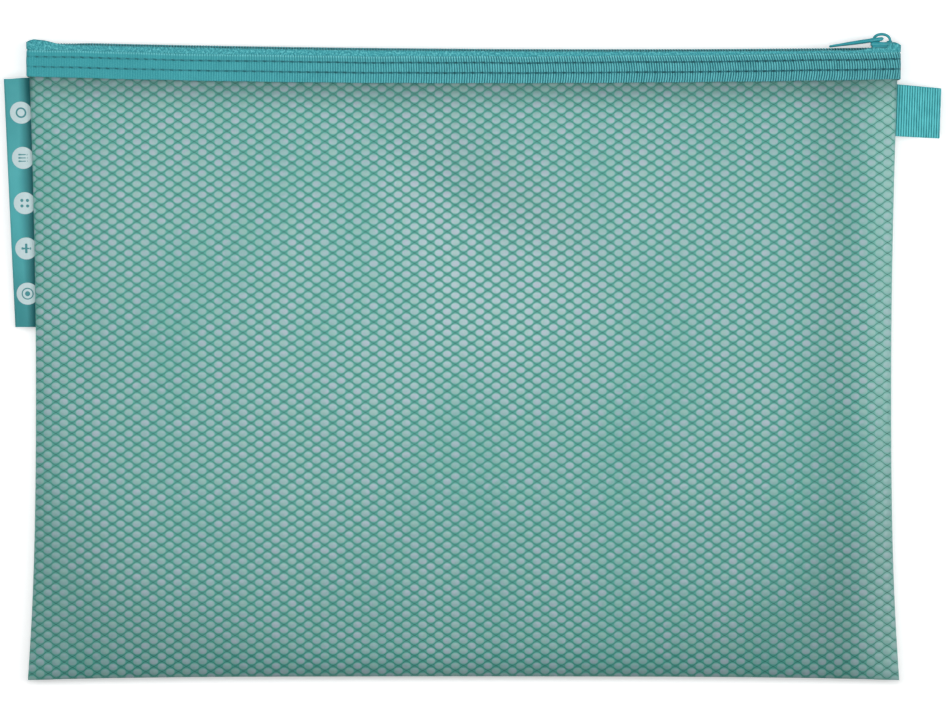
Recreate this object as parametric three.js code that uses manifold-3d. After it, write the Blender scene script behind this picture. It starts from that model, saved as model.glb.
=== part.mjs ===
// Flat zipper pouch, lying on its back panel with the zipper along its far edge.
// Millimetres. X runs along the zipper, Y from the bottom seam to the zipper, Z up from the surface
// that the pouch lies on. The origin is the middle of the flat underside.
import * as THREE from 'three';
import { mergeVertices } from 'three/addons/utils/BufferGeometryUtils.js';
import Module from 'manifold-3d';

const wasm = await Module();
wasm.setup();

// Body
const BINDING_LENGTH = 345;
const BODY_BOTTOM_Y = -125;
const BOTTOM_CORNER_INSET = 0.1;
const WAIST_INSET = 3.3;
const FILM = 0.5;
const CLEARANCE = 0.3;
const CROWN_HEIGHT = 13.5;
const ALLOWANCE_WIDTH = 10;
const EDGE_SINK = 0.02;

// Seam plane, where the two panels are sewn together
const SEAM_HEIGHT = 3.2;
const SEAM_CLIMB_FROM_MOUTH = 140;
const SEAM_CLIMB_LENGTH = 108.9;
const SEAM_THREAD_DIAMETER = 0.4;
const SEAM_THREAD_INSET = 4;

// Pillow shape: how far from a seam each panel takes to reach its full depth
const FRONT_SIDE_ROUND = 60;
const FRONT_BOTTOM_ROUND = 75;
const BACK_ROUND = 30;
const MOUTH_CORNER_RADIUS = 3;
const MOUTH_BLEND_LENGTH = 60;

// Ribbon that binds each lip
const RIBBON_WIDTH = 10.5;
const RIBBON_THICKNESS = 0.5;
const RIBBON_MIDDLE_Y = 110;
const RIBBON_LEFT_BOW = 2.7;
const RIBBON_RIGHT_BOW = 1.6;
const RIBBON_CORNER_RADIUS = 1.2;

// Topstitching
const STITCH_LENGTH = 3.6;
const STITCH_THREAD = 0.4;
const STITCH_WAVE = 0.12;
const UPPER_STITCH_FROM_EDGE = 8;
const LOWER_STITCH_FROM_EDGE = 4;
const STITCH_END_MARGIN = 4.5;
const STITCH_ABOVE_REST = 0.1;

// Zipper
const CHAIN_TOP_Y = 124.4;
const CHAIN_RISE = 2.2;
const TAPE_THICKNESS = 0.5;
const TAPE_FOLD_FROM_CHAIN = 4.6;
const TAPE_FOLD_RADIUS = 1;
const TAPE_EDGE_FROM_CHAIN = 0.9;
const TAPE_UNDER_RIBBON_MARGIN = 1.4;
const PANEL_UNDER_RIBBON_MARGIN = 1.1;
const COIL_WIDTH = 1.8;
const COIL_HEIGHT = 1.8;
const COIL_WALL = 0.4;
const COIL_SLIT = 1;
const CORE_DIAMETER = 0.4;

// Slider
const SLIDER_LENGTH = 8.8;
const SLIDER_FROM_BINDING_END = 2.8;
const SLIDER_REAR_HALF_WIDTH = 3.25;
const SLIDER_FRONT_HALF_WIDTH = 3.45;
const SLIDER_TOP_PLATE = 1.6;
const SLIDER_BOTTOM_PLATE = 1.1;
const SLIDER_FLANGE = 0.6;
const SLIDER_RUNNING_GAP = 0.35;
const PLATE_NOSE = 1.2;
const PLATE_REAR_CORNER = 0.7;
const PLATE_FLARE_SHARE = 0.45;
const PLATE_BEVEL_WIDTH = 0.35;
const PLATE_BEVEL_DEPTH = 0.4;
const FLANGE_FROM_REAR = 0.7;
const FLANGE_FROM_NOSE = 2;
const WEDGE_LENGTH = 2.4;
const WEDGE_THICKNESS = 0.4;
const WEDGE_FROM_NOSE = 1.2;
const CAST_SINK = 0.2;
const BRIDGE_HEIGHT = 3.8;
const BRIDGE_LENGTH = 7.8;
const BRIDGE_STRIP = 1.2;
const BRIDGE_WIDTH = 2;
const BRIDGE_FULLNESS = 0.8;

// Pull
const PULL_LENGTH = 21;
const PULL_EYE_LENGTH = 4.4;
const PULL_EYE_WIDTH = 2.8;
const PULL_BAR_DIAMETER = 1.1;
const PULL_PIVOT_HEIGHT = 1.35;
const PULL_HEAD_HALF_WIDTH = 2.4;
const PULL_TIP_HALF_WIDTH = 3;
const PULL_MIDDLE_THICKNESS = 1.5;
const PULL_TIP_THICKNESS = 0.8;
const PULL_SWELL_LENGTH = 8;
const PULL_BEHIND_PIVOT = 0.5;
const PULL_TIP_ROUND = 2;
const PULL_EDGE = 0.4;

// Webbing tab in the right seam
const TAB_WIDTH = 20.3;
const TAB_REACH = 17.4;
const TAB_TOP_Y = 108.6;
const TAB_WEBBING = 0.9;
const TAB_SLIT = 0.6;
const TAB_ROOT_SEAM_LENGTH = 4;

// Folded label in the left seam
const LABEL_TOP_Y = 111.6;
const LABEL_LENGTH = 98;
const LABEL_TOP_REACH = 9.6;
const LABEL_BOTTOM_REACH = 7.6;
const LABEL_SATIN = 0.4;
const LABEL_SLIT = 1;
const LABEL_ROOT_SEAM_LENGTH = 2;

// Facets
const PANEL_COLUMNS = 24;
const PANEL_TURN_ROWS = 4;
const PANEL_BODY_ROWS = 10;
const CORNER_FACETS = 4;
const LIP_FACETS = 12;
const FOLD_FACETS = 5;
const TAPE_FACETS = 14;
const COIL_FACETS = 12;
const BRIDGE_FACETS = 14;
const PULL_FACETS = 9;
const TIP_FACETS = 4;
const LOOP_FACETS = 6;
const SEAM_FACETS = 12;
const NORMAL_STEP = 0.004;

// Places worked out from the sizes above
const BINDING_HALF = BINDING_LENGTH / 2;
const BOTTOM_CORNER_HALF = BINDING_HALF - BOTTOM_CORNER_INSET;
const WAIST_HALF = BINDING_HALF - WAIST_INSET;
const RIBBON_OUT = TAPE_FOLD_FROM_CHAIN + CLEARANCE + RIBBON_THICKNESS;
const STITCH_OUT = RIBBON_OUT + CLEARANCE + STITCH_THREAD + STITCH_WAVE;
const CHAIN_Z = STITCH_OUT + STITCH_ABOVE_REST;
const TAPE_INNER = TAPE_FOLD_FROM_CHAIN - TAPE_THICKNESS;
const PANEL_OUT = TAPE_INNER - CLEARANCE;
const TAPE_END_HALF = BINDING_HALF - RIBBON_THICKNESS - CLEARANCE;
const PANEL_TOP_HALF = TAPE_END_HALF - TAPE_THICKNESS - CLEARANCE;
const FLAP_GAP = SEAM_THREAD_DIAMETER + 2 * CLEARANCE;
const FLAP_TOP = FLAP_GAP / 2 + FILM;
const PANEL_EDGE = FLAP_TOP + CLEARANCE;
const PANEL_TOP_Y = RIBBON_MIDDLE_Y + RIBBON_WIDTH - PANEL_UNDER_RIBBON_MARGIN;
const COIL_BOTTOM_Y = CHAIN_TOP_Y - COIL_HEIGHT;
const TAPE_TOP_Y = COIL_BOTTOM_Y - CLEARANCE;
const PLATE_BOTTOM_Y = CHAIN_TOP_Y + SLIDER_RUNNING_GAP;
const PLATE_TOP_Y = PLATE_BOTTOM_Y + SLIDER_TOP_PLATE;
const SLIDER_RIGHT_END_X = BINDING_HALF - SLIDER_FROM_BINDING_END;
const SLIDER_LEFT_END_X = SLIDER_RIGHT_END_X - SLIDER_LENGTH;
const BRIDGE_X = (SLIDER_LEFT_END_X + SLIDER_RIGHT_END_X) / 2;
const CHAIN_SLOPE = CHAIN_RISE / BINDING_LENGTH;

const clamp01 = (t) => Math.min(1, Math.max(0, t));
const smooth = (t) => clamp01(t) ** 2 * (3 - 2 * clamp01(t));
const mix = (a, b, t) => a + (b - a) * t;
const quarterRound = (t) => Math.sqrt(1 - (1 - clamp01(t)) ** 2);
const steps = (count) => Array.from({ length: count + 1 }, (_, i) => i / count);
const at = (x, y, z) => new THREE.Vector3(x, y, z);

// Closed surfaces from rings and grids of points

function geometryFrom(points, faces) {
  const geometry = new THREE.BufferGeometry();
  const flat = points.flatMap((p) => [p.x, p.y, p.z]);
  let volume = 0;
  for (const [a, b, c] of faces) {
    volume += points[a].dot(points[b].clone().cross(points[c]));
  }
  const outward = volume > 0 ? faces : faces.map(([a, b, c]) => [a, c, b]);
  geometry.setAttribute('position', new THREE.Float32BufferAttribute(flat, 3));
  geometry.setIndex(outward.flat());
  return geometry;
}

// A sheet between two grids of points with the same rows and columns
function sheetSolid(upper, lower) {
  const rows = upper.length;
  const columns = upper[0].length;
  const points = [...upper.flat(), ...lower.flat()];
  const top = (i, j) => i * columns + j;
  const bottom = (i, j) => rows * columns + i * columns + j;
  const faces = [];
  const quad = (a, b, c, d) => faces.push([a, b, c], [a, c, d]);
  for (let i = 0; i < rows - 1; i++) {
    for (let j = 0; j < columns - 1; j++) {
      quad(top(i, j), top(i, j + 1), top(i + 1, j + 1), top(i + 1, j));
      quad(bottom(i, j), bottom(i + 1, j), bottom(i + 1, j + 1), bottom(i, j + 1));
    }
  }
  for (let j = 0; j < columns - 1; j++) {
    quad(top(0, j), bottom(0, j), bottom(0, j + 1), top(0, j + 1));
    quad(top(rows - 1, j), top(rows - 1, j + 1), bottom(rows - 1, j + 1), bottom(rows - 1, j));
  }
  for (let i = 0; i < rows - 1; i++) {
    quad(top(i, 0), top(i + 1, 0), bottom(i + 1, 0), bottom(i, 0));
    quad(top(i, columns - 1), bottom(i, columns - 1), bottom(i + 1, columns - 1), top(i + 1, columns - 1));
  }
  return geometryFrom(points, faces);
}

// A solid through rings of points, closed at both ends by its first and last ring
function loftSolid(rings) {
  const count = rings[0].length;
  const points = rings.flat();
  const faces = [];
  for (let i = 0; i < rings.length - 1; i++) {
    for (let j = 0; j < count; j++) {
      const a = i * count + j;
      const b = i * count + ((j + 1) % count);
      faces.push([a, b, b + count], [a, b + count, a + count]);
    }
  }
  const flat = (ring) => {
    const normal = at(0, 0, 0);
    ring.forEach((p, j) => normal.add(p.clone().cross(ring[(j + 1) % count])));
    const across = ring[1].clone().sub(ring[0]).normalize();
    const up = normal.normalize().cross(across);
    return ring.map((p) => new THREE.Vector2(p.dot(across), p.dot(up)));
  };
  for (const [a, b, c] of THREE.ShapeUtils.triangulateShape(flat(rings[0]), [])) {
    faces.push([a, c, b]);
  }
  const last = (rings.length - 1) * count;
  for (const [a, b, c] of THREE.ShapeUtils.triangulateShape(flat(rings[rings.length - 1]), [])) {
    faces.push([last + a, last + b, last + c]);
  }
  return geometryFrom(points, faces);
}

// A tube with a bore: the outer and inner outline of each station have as many points
function ringSolid(stations) {
  const count = stations[0].outer.length;
  const points = stations.flatMap(({ outer, inner }) => [...outer, ...inner]);
  const faces = [];
  const quad = (a, b, c, d) => faces.push([a, b, c], [a, c, d]);
  const outer = (i, j) => i * 2 * count + (j % count);
  const inner = (i, j) => outer(i, j) + count;
  const last = stations.length - 1;
  for (let j = 0; j < count; j++) {
    for (let i = 0; i < last; i++) {
      quad(outer(i, j), outer(i, j + 1), outer(i + 1, j + 1), outer(i + 1, j));
      quad(inner(i, j), inner(i + 1, j), inner(i + 1, j + 1), inner(i, j + 1));
    }
    quad(outer(0, j), inner(0, j), inner(0, j + 1), outer(0, j + 1));
    quad(outer(last, j), outer(last, j + 1), inner(last, j + 1), inner(last, j));
  }
  return geometryFrom(points, faces);
}

// A thread or bar along points, with a polygon section
function threadSolid(path, diameter, sides) {
  const rings = path.map((point, i) => {
    const before = path[Math.max(0, i - 1)];
    const after = path[Math.min(path.length - 1, i + 1)];
    const along = after.clone().sub(before).normalize();
    const side = along.clone().cross(at(0, 0, 1)).normalize();
    const up = side.clone().cross(along);
    return Array.from({ length: sides }, (_, k) => {
      const angle = ((k + 0.5) * 2 * Math.PI) / sides;
      return point
        .clone()
        .addScaledVector(side, (Math.cos(angle) * diameter) / 2)
        .addScaledVector(up, (Math.sin(angle) * diameter) / 2);
    });
  });
  return loftSolid(rings);
}

function toManifold(geometry) {
  const bare = new THREE.BufferGeometry();
  bare.setAttribute('position', geometry.getAttribute('position').clone());
  if (geometry.index) {
    bare.setIndex(geometry.index.clone());
  }
  const merged = mergeVertices(bare, 1e-4);
  const vertProperties = Float32Array.from(merged.getAttribute('position').array);
  const triVerts = Uint32Array.from(merged.index.array);
  return new wasm.Manifold(new wasm.Mesh({ numProp: 3, vertProperties, triVerts }));
}

function toGeometry(manifold) {
  const { vertProperties, triVerts } = manifold.getMesh();
  const geometry = new THREE.BufferGeometry();
  geometry.setAttribute('position', new THREE.Float32BufferAttribute(vertProperties, 3));
  geometry.setIndex(Array.from(triVerts));
  return geometry;
}

const union = (...parts) => toGeometry(parts.map(toManifold).reduce((sum, part) => sum.add(part)));

function box(low, high) {
  const geometry = new THREE.BoxGeometry(high.x - low.x, high.y - low.y, high.z - low.z);
  return geometry.translate((low.x + high.x) / 2, (low.y + high.y) / 2, (low.z + high.z) / 2);
}

// Shape of the two panels

// Height of the plane where the seams are sewn, which climbs to the zipper's middle at the mouth
function seamZ(y) {
  const climb = (y - RIBBON_MIDDLE_Y + SEAM_CLIMB_FROM_MOUTH) / SEAM_CLIMB_LENGTH;
  return mix(SEAM_HEIGHT, CHAIN_Z, smooth(climb));
}

const mouthShare = (y) => smooth((y - RIBBON_MIDDLE_Y + MOUTH_BLEND_LENGTH) / MOUTH_BLEND_LENGTH);

function halfWidth(y) {
  const cornerHalf = y > 0 ? PANEL_TOP_HALF : BOTTOM_CORNER_HALF;
  const reach = y > 0 ? PANEL_TOP_Y : -BODY_BOTTOM_Y;
  return mix(WAIST_HALF, cornerHalf, clamp01(Math.abs(y) / reach) ** 3);
}

// Depth of a panel from its seam edge, on its inner face
function panelDepth(side, x, y, bottomShare) {
  const inside = halfWidth(y) - FILM - Math.abs(x);
  const sideRound = mix(side > 0 ? FRONT_SIDE_ROUND : BACK_ROUND, MOUTH_CORNER_RADIUS, mouthShare(y));
  const lyingDepth = (side > 0 ? CROWN_HEIGHT - seamZ(y) : seamZ(y)) - FILM - PANEL_EDGE;
  const mouthDepth = PANEL_OUT - FILM - PANEL_EDGE;
  const depth = mix(lyingDepth, mouthDepth, mouthShare(y));
  return depth * quarterRound(inside / sideRound) * bottomShare;
}

// Row 0 to 1 turns up from the bottom seam, row 1 to 2 runs to the mouth
function panelPoint(side, across, row) {
  const bottomRound = side > 0 ? FRONT_BOTTOM_ROUND : BACK_ROUND;
  const firstY = BODY_BOTTOM_Y + FILM;
  const turn = (clamp01(row) * Math.PI) / 2;
  const y = mix(firstY + bottomRound * (1 - Math.cos(turn)), PANEL_TOP_Y, clamp01(row - 1));
  const x = (halfWidth(y) - FILM) * Math.sin((across * Math.PI) / 2);
  return at(x, y, seamZ(y) + side * (PANEL_EDGE + panelDepth(side, x, y, Math.sin(turn))));
}

// The normal is taken just inside the corners, where the surface has one
function panelNormal(side, across, row) {
  const h = NORMAL_STEP;
  const u = Math.min(1 - 2 * h, Math.max(2 * h - 1, across));
  const v = Math.min(2 - 2 * h, Math.max(2 * h, row));
  const alongX = panelPoint(side, u + h, v).sub(panelPoint(side, u - h, v));
  const alongY = panelPoint(side, u, v + h).sub(panelPoint(side, u, v - h));
  return alongX.cross(alongY).normalize().multiplyScalar(side);
}

const PANEL_ROWS = [
  ...steps(PANEL_TURN_ROWS).slice(0, -1),
  ...steps(PANEL_BODY_ROWS).map((t) => 1 + t),
];

function panelShell(side) {
  const inner = [];
  const outer = [];
  for (const row of PANEL_ROWS) {
    const across = steps(PANEL_COLUMNS).map((t) => 2 * t - 1);
    const line = across.map((u) => panelPoint(side, u, row));
    inner.push(line);
    outer.push(line.map((p, j) => p.clone().addScaledVector(panelNormal(side, across[j], row), FILM)));
  }
  return sheetSolid(outer, inner);
}

// Seam allowance turned in along one side: a short wall at the edge and a flap along the seam plane
function allowanceSection(side) {
  const wallOut = -EDGE_SINK;
  const wallIn = EDGE_SINK - FILM;
  const flapLow = FLAP_GAP / 2;
  const wallTop = PANEL_EDGE + FILM / 2;
  const outline = [
    [wallOut, flapLow],
    [wallOut, wallTop],
    [wallIn, wallTop],
    [wallIn, FLAP_TOP],
    [-ALLOWANCE_WIDTH, FLAP_TOP],
    [-ALLOWANCE_WIDTH, flapLow],
  ];
  return outline.map(([out, up]) => [out, side * up]);
}

function sideAllowance(side, hand) {
  const section = allowanceSection(side);
  const rings = PANEL_ROWS.map((row) => {
    const { y } = panelPoint(side, 0, row);
    return section.map(([out, up]) => at(hand * (halfWidth(y) + out), y, seamZ(y) + up));
  });
  return loftSolid(rings);
}

// The allowance along the bottom ends where those of the sides begin
function bottomAllowance(side) {
  const endX = (y) => halfWidth(y) - ALLOWANCE_WIDTH - CLEARANCE;
  const rings = [-1, 1].map((hand) =>
    allowanceSection(side).map(([out, up]) => {
      const y = BODY_BOTTOM_Y - out;
      return at(hand * endX(y), y, SEAM_HEIGHT + up);
    }),
  );
  return loftSolid(rings);
}

const panel = (side) =>
  union(panelShell(side), sideAllowance(side, -1), sideAllowance(side, 1), bottomAllowance(side));

// Ribbon and stitching of one lip

const ribbonLowY = (x) =>
  RIBBON_MIDDLE_Y + (x < 0 ? RIBBON_LEFT_BOW : RIBBON_RIGHT_BOW) * (x / BINDING_HALF) ** 2;

// The zipper climbs evenly to the left, away from its closed slider
const chainLift = (x) => CHAIN_SLOPE * (BRIDGE_X - x);

function alongChain(geometry) {
  const lean = new THREE.Matrix4().makeShear(-CHAIN_SLOPE, 0, 0, 0, 0, 0);
  return geometry.applyMatrix4(lean).translate(0, CHAIN_SLOPE * BRIDGE_X, 0);
}

// Outline of a layer that runs along the lip and turns down to the seam plane at both ends
function lipOutline(halfLength, out, radius) {
  const corner = steps(CORNER_FACETS).map((t) => {
    const angle = (t * Math.PI) / 2;
    return [halfLength - radius + radius * Math.cos(angle), out - radius + radius * Math.sin(angle)];
  });
  const run = halfLength - radius;
  const middle = steps(LIP_FACETS).slice(1, -1).map((t) => [mix(run, -run, t), out]);
  const mirrored = [...corner].reverse().map(([x, z]) => [-x, z]);
  const foot = CLEARANCE / 2;
  return [[halfLength, foot], ...corner, ...middle, ...mirrored, [-halfLength, foot]];
}

function ribbon(side) {
  const outer = lipOutline(BINDING_HALF, RIBBON_OUT, RIBBON_CORNER_RADIUS);
  const inner = lipOutline(
    BINDING_HALF - RIBBON_THICKNESS,
    RIBBON_OUT - RIBBON_THICKNESS,
    RIBBON_CORNER_RADIUS - RIBBON_THICKNESS,
  );
  const line = (outline, up) =>
    outline.map(([x, out]) => at(x, ribbonLowY(x) + up, CHAIN_Z + side * out));
  const rows = (outline) => [0, RIBBON_WIDTH].map((up) => line(outline, up));
  return sheetSolid(rows(outer), rows(inner));
}

// One unbroken thread that rises over each stitch and dips at each needle hole
function topstitch(side, fromEdge) {
  const half = BINDING_HALF - STITCH_END_MARGIN;
  const count = Math.round((2 * half) / STITCH_LENGTH);
  const base = RIBBON_OUT + CLEARANCE + STITCH_THREAD / 2;
  const path = steps(2 * count).map((t, i) => {
    const x = mix(-half, half, t);
    return at(x, ribbonLowY(x) + fromEdge, CHAIN_Z + side * (base + (i % 2) * STITCH_WAVE));
  });
  return threadSolid(path, STITCH_THREAD, 3);
}

// Zipper tape: flat under its coil, folded over the lip and down under the ribbon
function tape(side) {
  const foldY = TAPE_TOP_Y - TAPE_FOLD_RADIUS;
  const foldZ = TAPE_FOLD_FROM_CHAIN - TAPE_FOLD_RADIUS;
  const skin = (radius) => {
    const fold = steps(FOLD_FACETS).map((t) => {
      const angle = (t * Math.PI) / 2;
      return [foldY + radius * Math.cos(angle), foldZ + radius * Math.sin(angle)];
    });
    return [[foldY + radius, TAPE_EDGE_FROM_CHAIN], ...fold, [null, foldZ + radius]];
  };
  const columns = steps(TAPE_FACETS).map((t) => mix(-TAPE_END_HALF, TAPE_END_HALF, t));
  const rows = (radius) =>
    skin(radius).map(([y, out]) =>
      columns.map((x) => {
        const rowY = y === null ? ribbonLowY(x) + TAPE_UNDER_RIBBON_MARGIN : y + chainLift(x);
        return at(x, rowY, CHAIN_Z + side * out);
      }),
    );
  const strip = sheetSolid(rows(TAPE_FOLD_RADIUS), rows(TAPE_FOLD_RADIUS - TAPE_THICKNESS));
  const ends = [-1, 1].map((hand) => {
    const xs = [TAPE_END_HALF - TAPE_THICKNESS, TAPE_END_HALF].map((x) => hand * x);
    const zs = [CLEARANCE / 2, TAPE_INNER + TAPE_THICKNESS / 2].map((out) => CHAIN_Z + side * out);
    const lowY = ribbonLowY(hand * TAPE_END_HALF) + TAPE_UNDER_RIBBON_MARGIN;
    const highY = TAPE_TOP_Y + chainLift(hand * TAPE_END_HALF) - TAPE_THICKNESS / 2;
    return box(
      at(Math.min(...xs), lowY, Math.min(...zs)),
      at(Math.max(...xs), highY, Math.max(...zs)),
    );
  });
  return union(strip, ...ends);
}

const CHAIN_HALF_LENGTH = TAPE_END_HALF - TAPE_THICKNESS - CLEARANCE;

// Coil of one tape, a rounded tube with its filler cord inside
function coil(side) {
  const middleZ = COIL_SLIT / 2 + COIL_WIDTH / 2;
  const middleY = COIL_BOTTOM_Y + COIL_HEIGHT / 2;
  const outline = (width, height) =>
    steps(COIL_FACETS)
      .slice(0, -1)
      .map((t) => {
        const angle = t * 2 * Math.PI;
        const [c, s] = [Math.cos(angle), Math.sin(angle)];
        const round = Math.sqrt(Math.max(Math.abs(c), Math.abs(s)));
        return [(c * height) / 2 / round, (s * width) / 2 / round];
      });
  const ring = (x, width, height) =>
    outline(width, height).map(([y, z]) => at(x, middleY + y, CHAIN_Z + side * (middleZ + z)));
  return ringSolid(
    [-CHAIN_HALF_LENGTH, CHAIN_HALF_LENGTH].map((x) => ({
      outer: ring(x, COIL_WIDTH, COIL_HEIGHT),
      inner: ring(x, COIL_WIDTH - 2 * COIL_WALL, COIL_HEIGHT - 2 * COIL_WALL),
    })),
  );
}

function coilCore(side) {
  const z = CHAIN_Z + side * (COIL_SLIT / 2 + COIL_WIDTH / 2);
  const y = COIL_BOTTOM_Y + COIL_HEIGHT / 2;
  return threadSolid([at(-CHAIN_HALF_LENGTH, y, z), at(CHAIN_HALF_LENGTH, y, z)], CORE_DIAMETER, 6);
}

// Slider: two plates joined by a wedge, flanges that hold the coils, and the bridge for the pull

function plateOutline() {
  const half = [
    [SLIDER_LEFT_END_X, SLIDER_REAR_HALF_WIDTH - PLATE_REAR_CORNER],
    [SLIDER_LEFT_END_X + PLATE_REAR_CORNER, SLIDER_REAR_HALF_WIDTH],
    [SLIDER_RIGHT_END_X - SLIDER_LENGTH * PLATE_FLARE_SHARE, SLIDER_REAR_HALF_WIDTH],
    [SLIDER_RIGHT_END_X - PLATE_NOSE, SLIDER_FRONT_HALF_WIDTH],
    [SLIDER_RIGHT_END_X, SLIDER_FRONT_HALF_WIDTH - PLATE_NOSE],
  ];
  return [...half, ...[...half].reverse().map(([x, z]) => [x, -z])];
}

// A plate between its inner face, against the coils, and its outer face, whose edge is bevelled
function plate(innerY, outerY) {
  const outward = Math.sign(outerY - innerY);
  const bevelScale = 1 - PLATE_BEVEL_WIDTH / SLIDER_REAR_HALF_WIDTH;
  const levels = [[innerY, 1], [outerY - outward * PLATE_BEVEL_DEPTH, 1], [outerY, bevelScale]];
  const ring = ([y, scale]) =>
    plateOutline().map(([x, z]) => at(mix(BRIDGE_X, x, scale), y, CHAIN_Z + z * scale));
  return loftSolid(levels.map(ring));
}

function bridge() {
  const points = (halfLength, height) =>
    steps(BRIDGE_FACETS).map((t) => {
      const angle = t * Math.PI;
      const rise = height * Math.max(0, Math.sin(angle)) ** BRIDGE_FULLNESS;
      return [BRIDGE_X + halfLength * Math.cos(angle), PLATE_TOP_Y + rise];
    });
  const skin = (halfLength, height) => {
    const arch = points(halfLength, height);
    const foot = PLATE_TOP_Y - SLIDER_TOP_PLATE / 2;
    const full = [[arch[0][0], foot], ...arch, [arch[arch.length - 1][0], foot]];
    return [-1, 1].map((s) => full.map(([x, y]) => at(x, y, CHAIN_Z + (s * BRIDGE_WIDTH) / 2)));
  };
  return sheetSolid(
    skin(BRIDGE_LENGTH / 2, BRIDGE_HEIGHT),
    skin(BRIDGE_LENGTH / 2 - BRIDGE_STRIP, BRIDGE_HEIGHT - BRIDGE_STRIP),
  );
}

function sliderBody() {
  const bottomTopY = TAPE_TOP_Y - TAPE_THICKNESS - SLIDER_RUNNING_GAP;
  const bottomLowY = bottomTopY - SLIDER_BOTTOM_PLATE;
  const top = plate(PLATE_BOTTOM_Y, PLATE_TOP_Y);
  const bottom = plate(bottomTopY, bottomLowY);
  const flanges = [-1, 1].map((hand) => {
    const inner = CHAIN_Z + hand * (SLIDER_REAR_HALF_WIDTH - SLIDER_FLANGE);
    const zs = [inner, CHAIN_Z + hand * SLIDER_REAR_HALF_WIDTH];
    return box(
      at(SLIDER_LEFT_END_X + FLANGE_FROM_REAR, TAPE_TOP_Y + SLIDER_RUNNING_GAP, Math.min(...zs)),
      at(SLIDER_RIGHT_END_X - FLANGE_FROM_NOSE, PLATE_BOTTOM_Y + CAST_SINK, Math.max(...zs)),
    );
  });
  const wedgeX = SLIDER_RIGHT_END_X - WEDGE_FROM_NOSE;
  const wedge = box(
    at(wedgeX - WEDGE_LENGTH, bottomTopY - CAST_SINK, CHAIN_Z - WEDGE_THICKNESS / 2),
    at(wedgeX, PLATE_BOTTOM_Y + CAST_SINK, CHAIN_Z + WEDGE_THICKNESS / 2),
  );
  return union(top, bottom, ...flanges, wedge, bridge());
}

// Pull, modelled along -X from the middle of its bar, then tilted until its tip lies on the chain

// Half width and half thickness at a distance from the bar
function pullSection(s) {
  const swell = smooth(s / PULL_SWELL_LENGTH);
  const thin = smooth((s - PULL_SWELL_LENGTH) / (PULL_LENGTH - PULL_SWELL_LENGTH));
  const middle = mix(PULL_BAR_DIAMETER, PULL_MIDDLE_THICKNESS, swell);
  const widen = smooth((s - PULL_EYE_LENGTH) / PULL_SWELL_LENGTH);
  return {
    half: mix(PULL_HEAD_HALF_WIDTH, PULL_TIP_HALF_WIDTH, widen),
    thick: (middle * mix(1, PULL_TIP_THICKNESS / PULL_MIDDLE_THICKNESS, thin)) / 2,
  };
}

function pullTab() {
  const roundFrom = PULL_LENGTH - PULL_TIP_ROUND;
  const body = steps(PULL_FACETS).map((t) => [mix(-PULL_BEHIND_PIVOT, roundFrom, t), 1]);
  const tip = steps(TIP_FACETS).slice(1).map((t) => {
    const angle = (t * Math.PI) / 2;
    return [roundFrom + PULL_TIP_ROUND * Math.sin(angle), mix(PULL_EDGE, 1, Math.cos(angle))];
  });
  const rings = [...body, ...tip].map(([s, share]) => {
    const section = pullSection(s);
    const half = section.half * share;
    const { thick } = section;
    const flat = half - Math.min(PULL_EDGE, half / 3);
    const rim = thick / 3;
    return [
      [half, rim],
      [flat, thick],
      [-flat, thick],
      [-half, rim],
      [-half, -rim],
      [-flat, -thick],
      [flat, -thick],
      [half, -rim],
    ].map(([z, y]) => at(-s, y, z));
  });
  const eye = box(
    at(-PULL_EYE_LENGTH, -PULL_MIDDLE_THICKNESS, -PULL_EYE_WIDTH / 2),
    at(-PULL_BAR_DIAMETER / 2, PULL_MIDDLE_THICKNESS, PULL_EYE_WIDTH / 2),
  );
  return toGeometry(toManifold(loftSolid(rings)).subtract(toManifold(eye)));
}

const PULL_PIVOT_Y = PLATE_TOP_Y + PULL_PIVOT_HEIGHT;
const PULL_TILT = Math.asin(
  (PULL_PIVOT_Y - CHAIN_TOP_Y - CLEARANCE - PULL_TIP_THICKNESS / 2) / PULL_LENGTH - CHAIN_SLOPE,
);

// Folded strips in the side seams: a loop with a round root that its seam bends about

function foldedLoop(reach, wall, slit, rootLength) {
  const half = wall + slit / 2;
  const end = (radius, centre, from) =>
    steps(LOOP_FACETS).map((t) => {
      const angle = from + t * Math.PI;
      return [centre + radius * Math.cos(angle), radius * Math.sin(angle)];
    });
  const outer = [...end(half, reach - half, -Math.PI / 2), ...end(half, 0, Math.PI / 2)];
  const inner = [...end(slit / 2, reach - half, -Math.PI / 2), ...end(slit / 2, rootLength, Math.PI / 2)];
  return { outer, inner, half };
}

// Root of a strip: centre of its round end, clear of the seam's outer edge
const rootAt = (hand, y, half) => at(hand * (halfWidth(y) + CLEARANCE + half), y, seamZ(y));

function seamStrip(hand, topY, length, topReach, bottomReach, wall, slit, rootLength) {
  const half = wall + slit / 2;
  const ends = [topY - length, topY].map((y) => rootAt(hand, y, half));
  const stations = [0, 1].map((t) => {
    const loop = foldedLoop(mix(bottomReach, topReach, t), wall, slit, rootLength);
    const place = ([out, up]) => at(ends[t].x + hand * out, ends[t].y, ends[t].z + up);
    return { outer: loop.outer.map(place), inner: loop.inner.map(place) };
  });
  return ringSolid(stations);
}

const webbingTab = () =>
  seamStrip(1, TAB_TOP_Y, TAB_WIDTH, TAB_REACH, TAB_REACH, TAB_WEBBING, TAB_SLIT, TAB_ROOT_SEAM_LENGTH);

const labelStrip = () =>
  seamStrip(
    -1,
    LABEL_TOP_Y,
    LABEL_LENGTH,
    LABEL_TOP_REACH,
    LABEL_BOTTOM_REACH,
    LABEL_SATIN,
    LABEL_SLIT,
    LABEL_ROOT_SEAM_LENGTH,
  );

// Seam threads, between the turned-in allowances of the two panels

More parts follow.
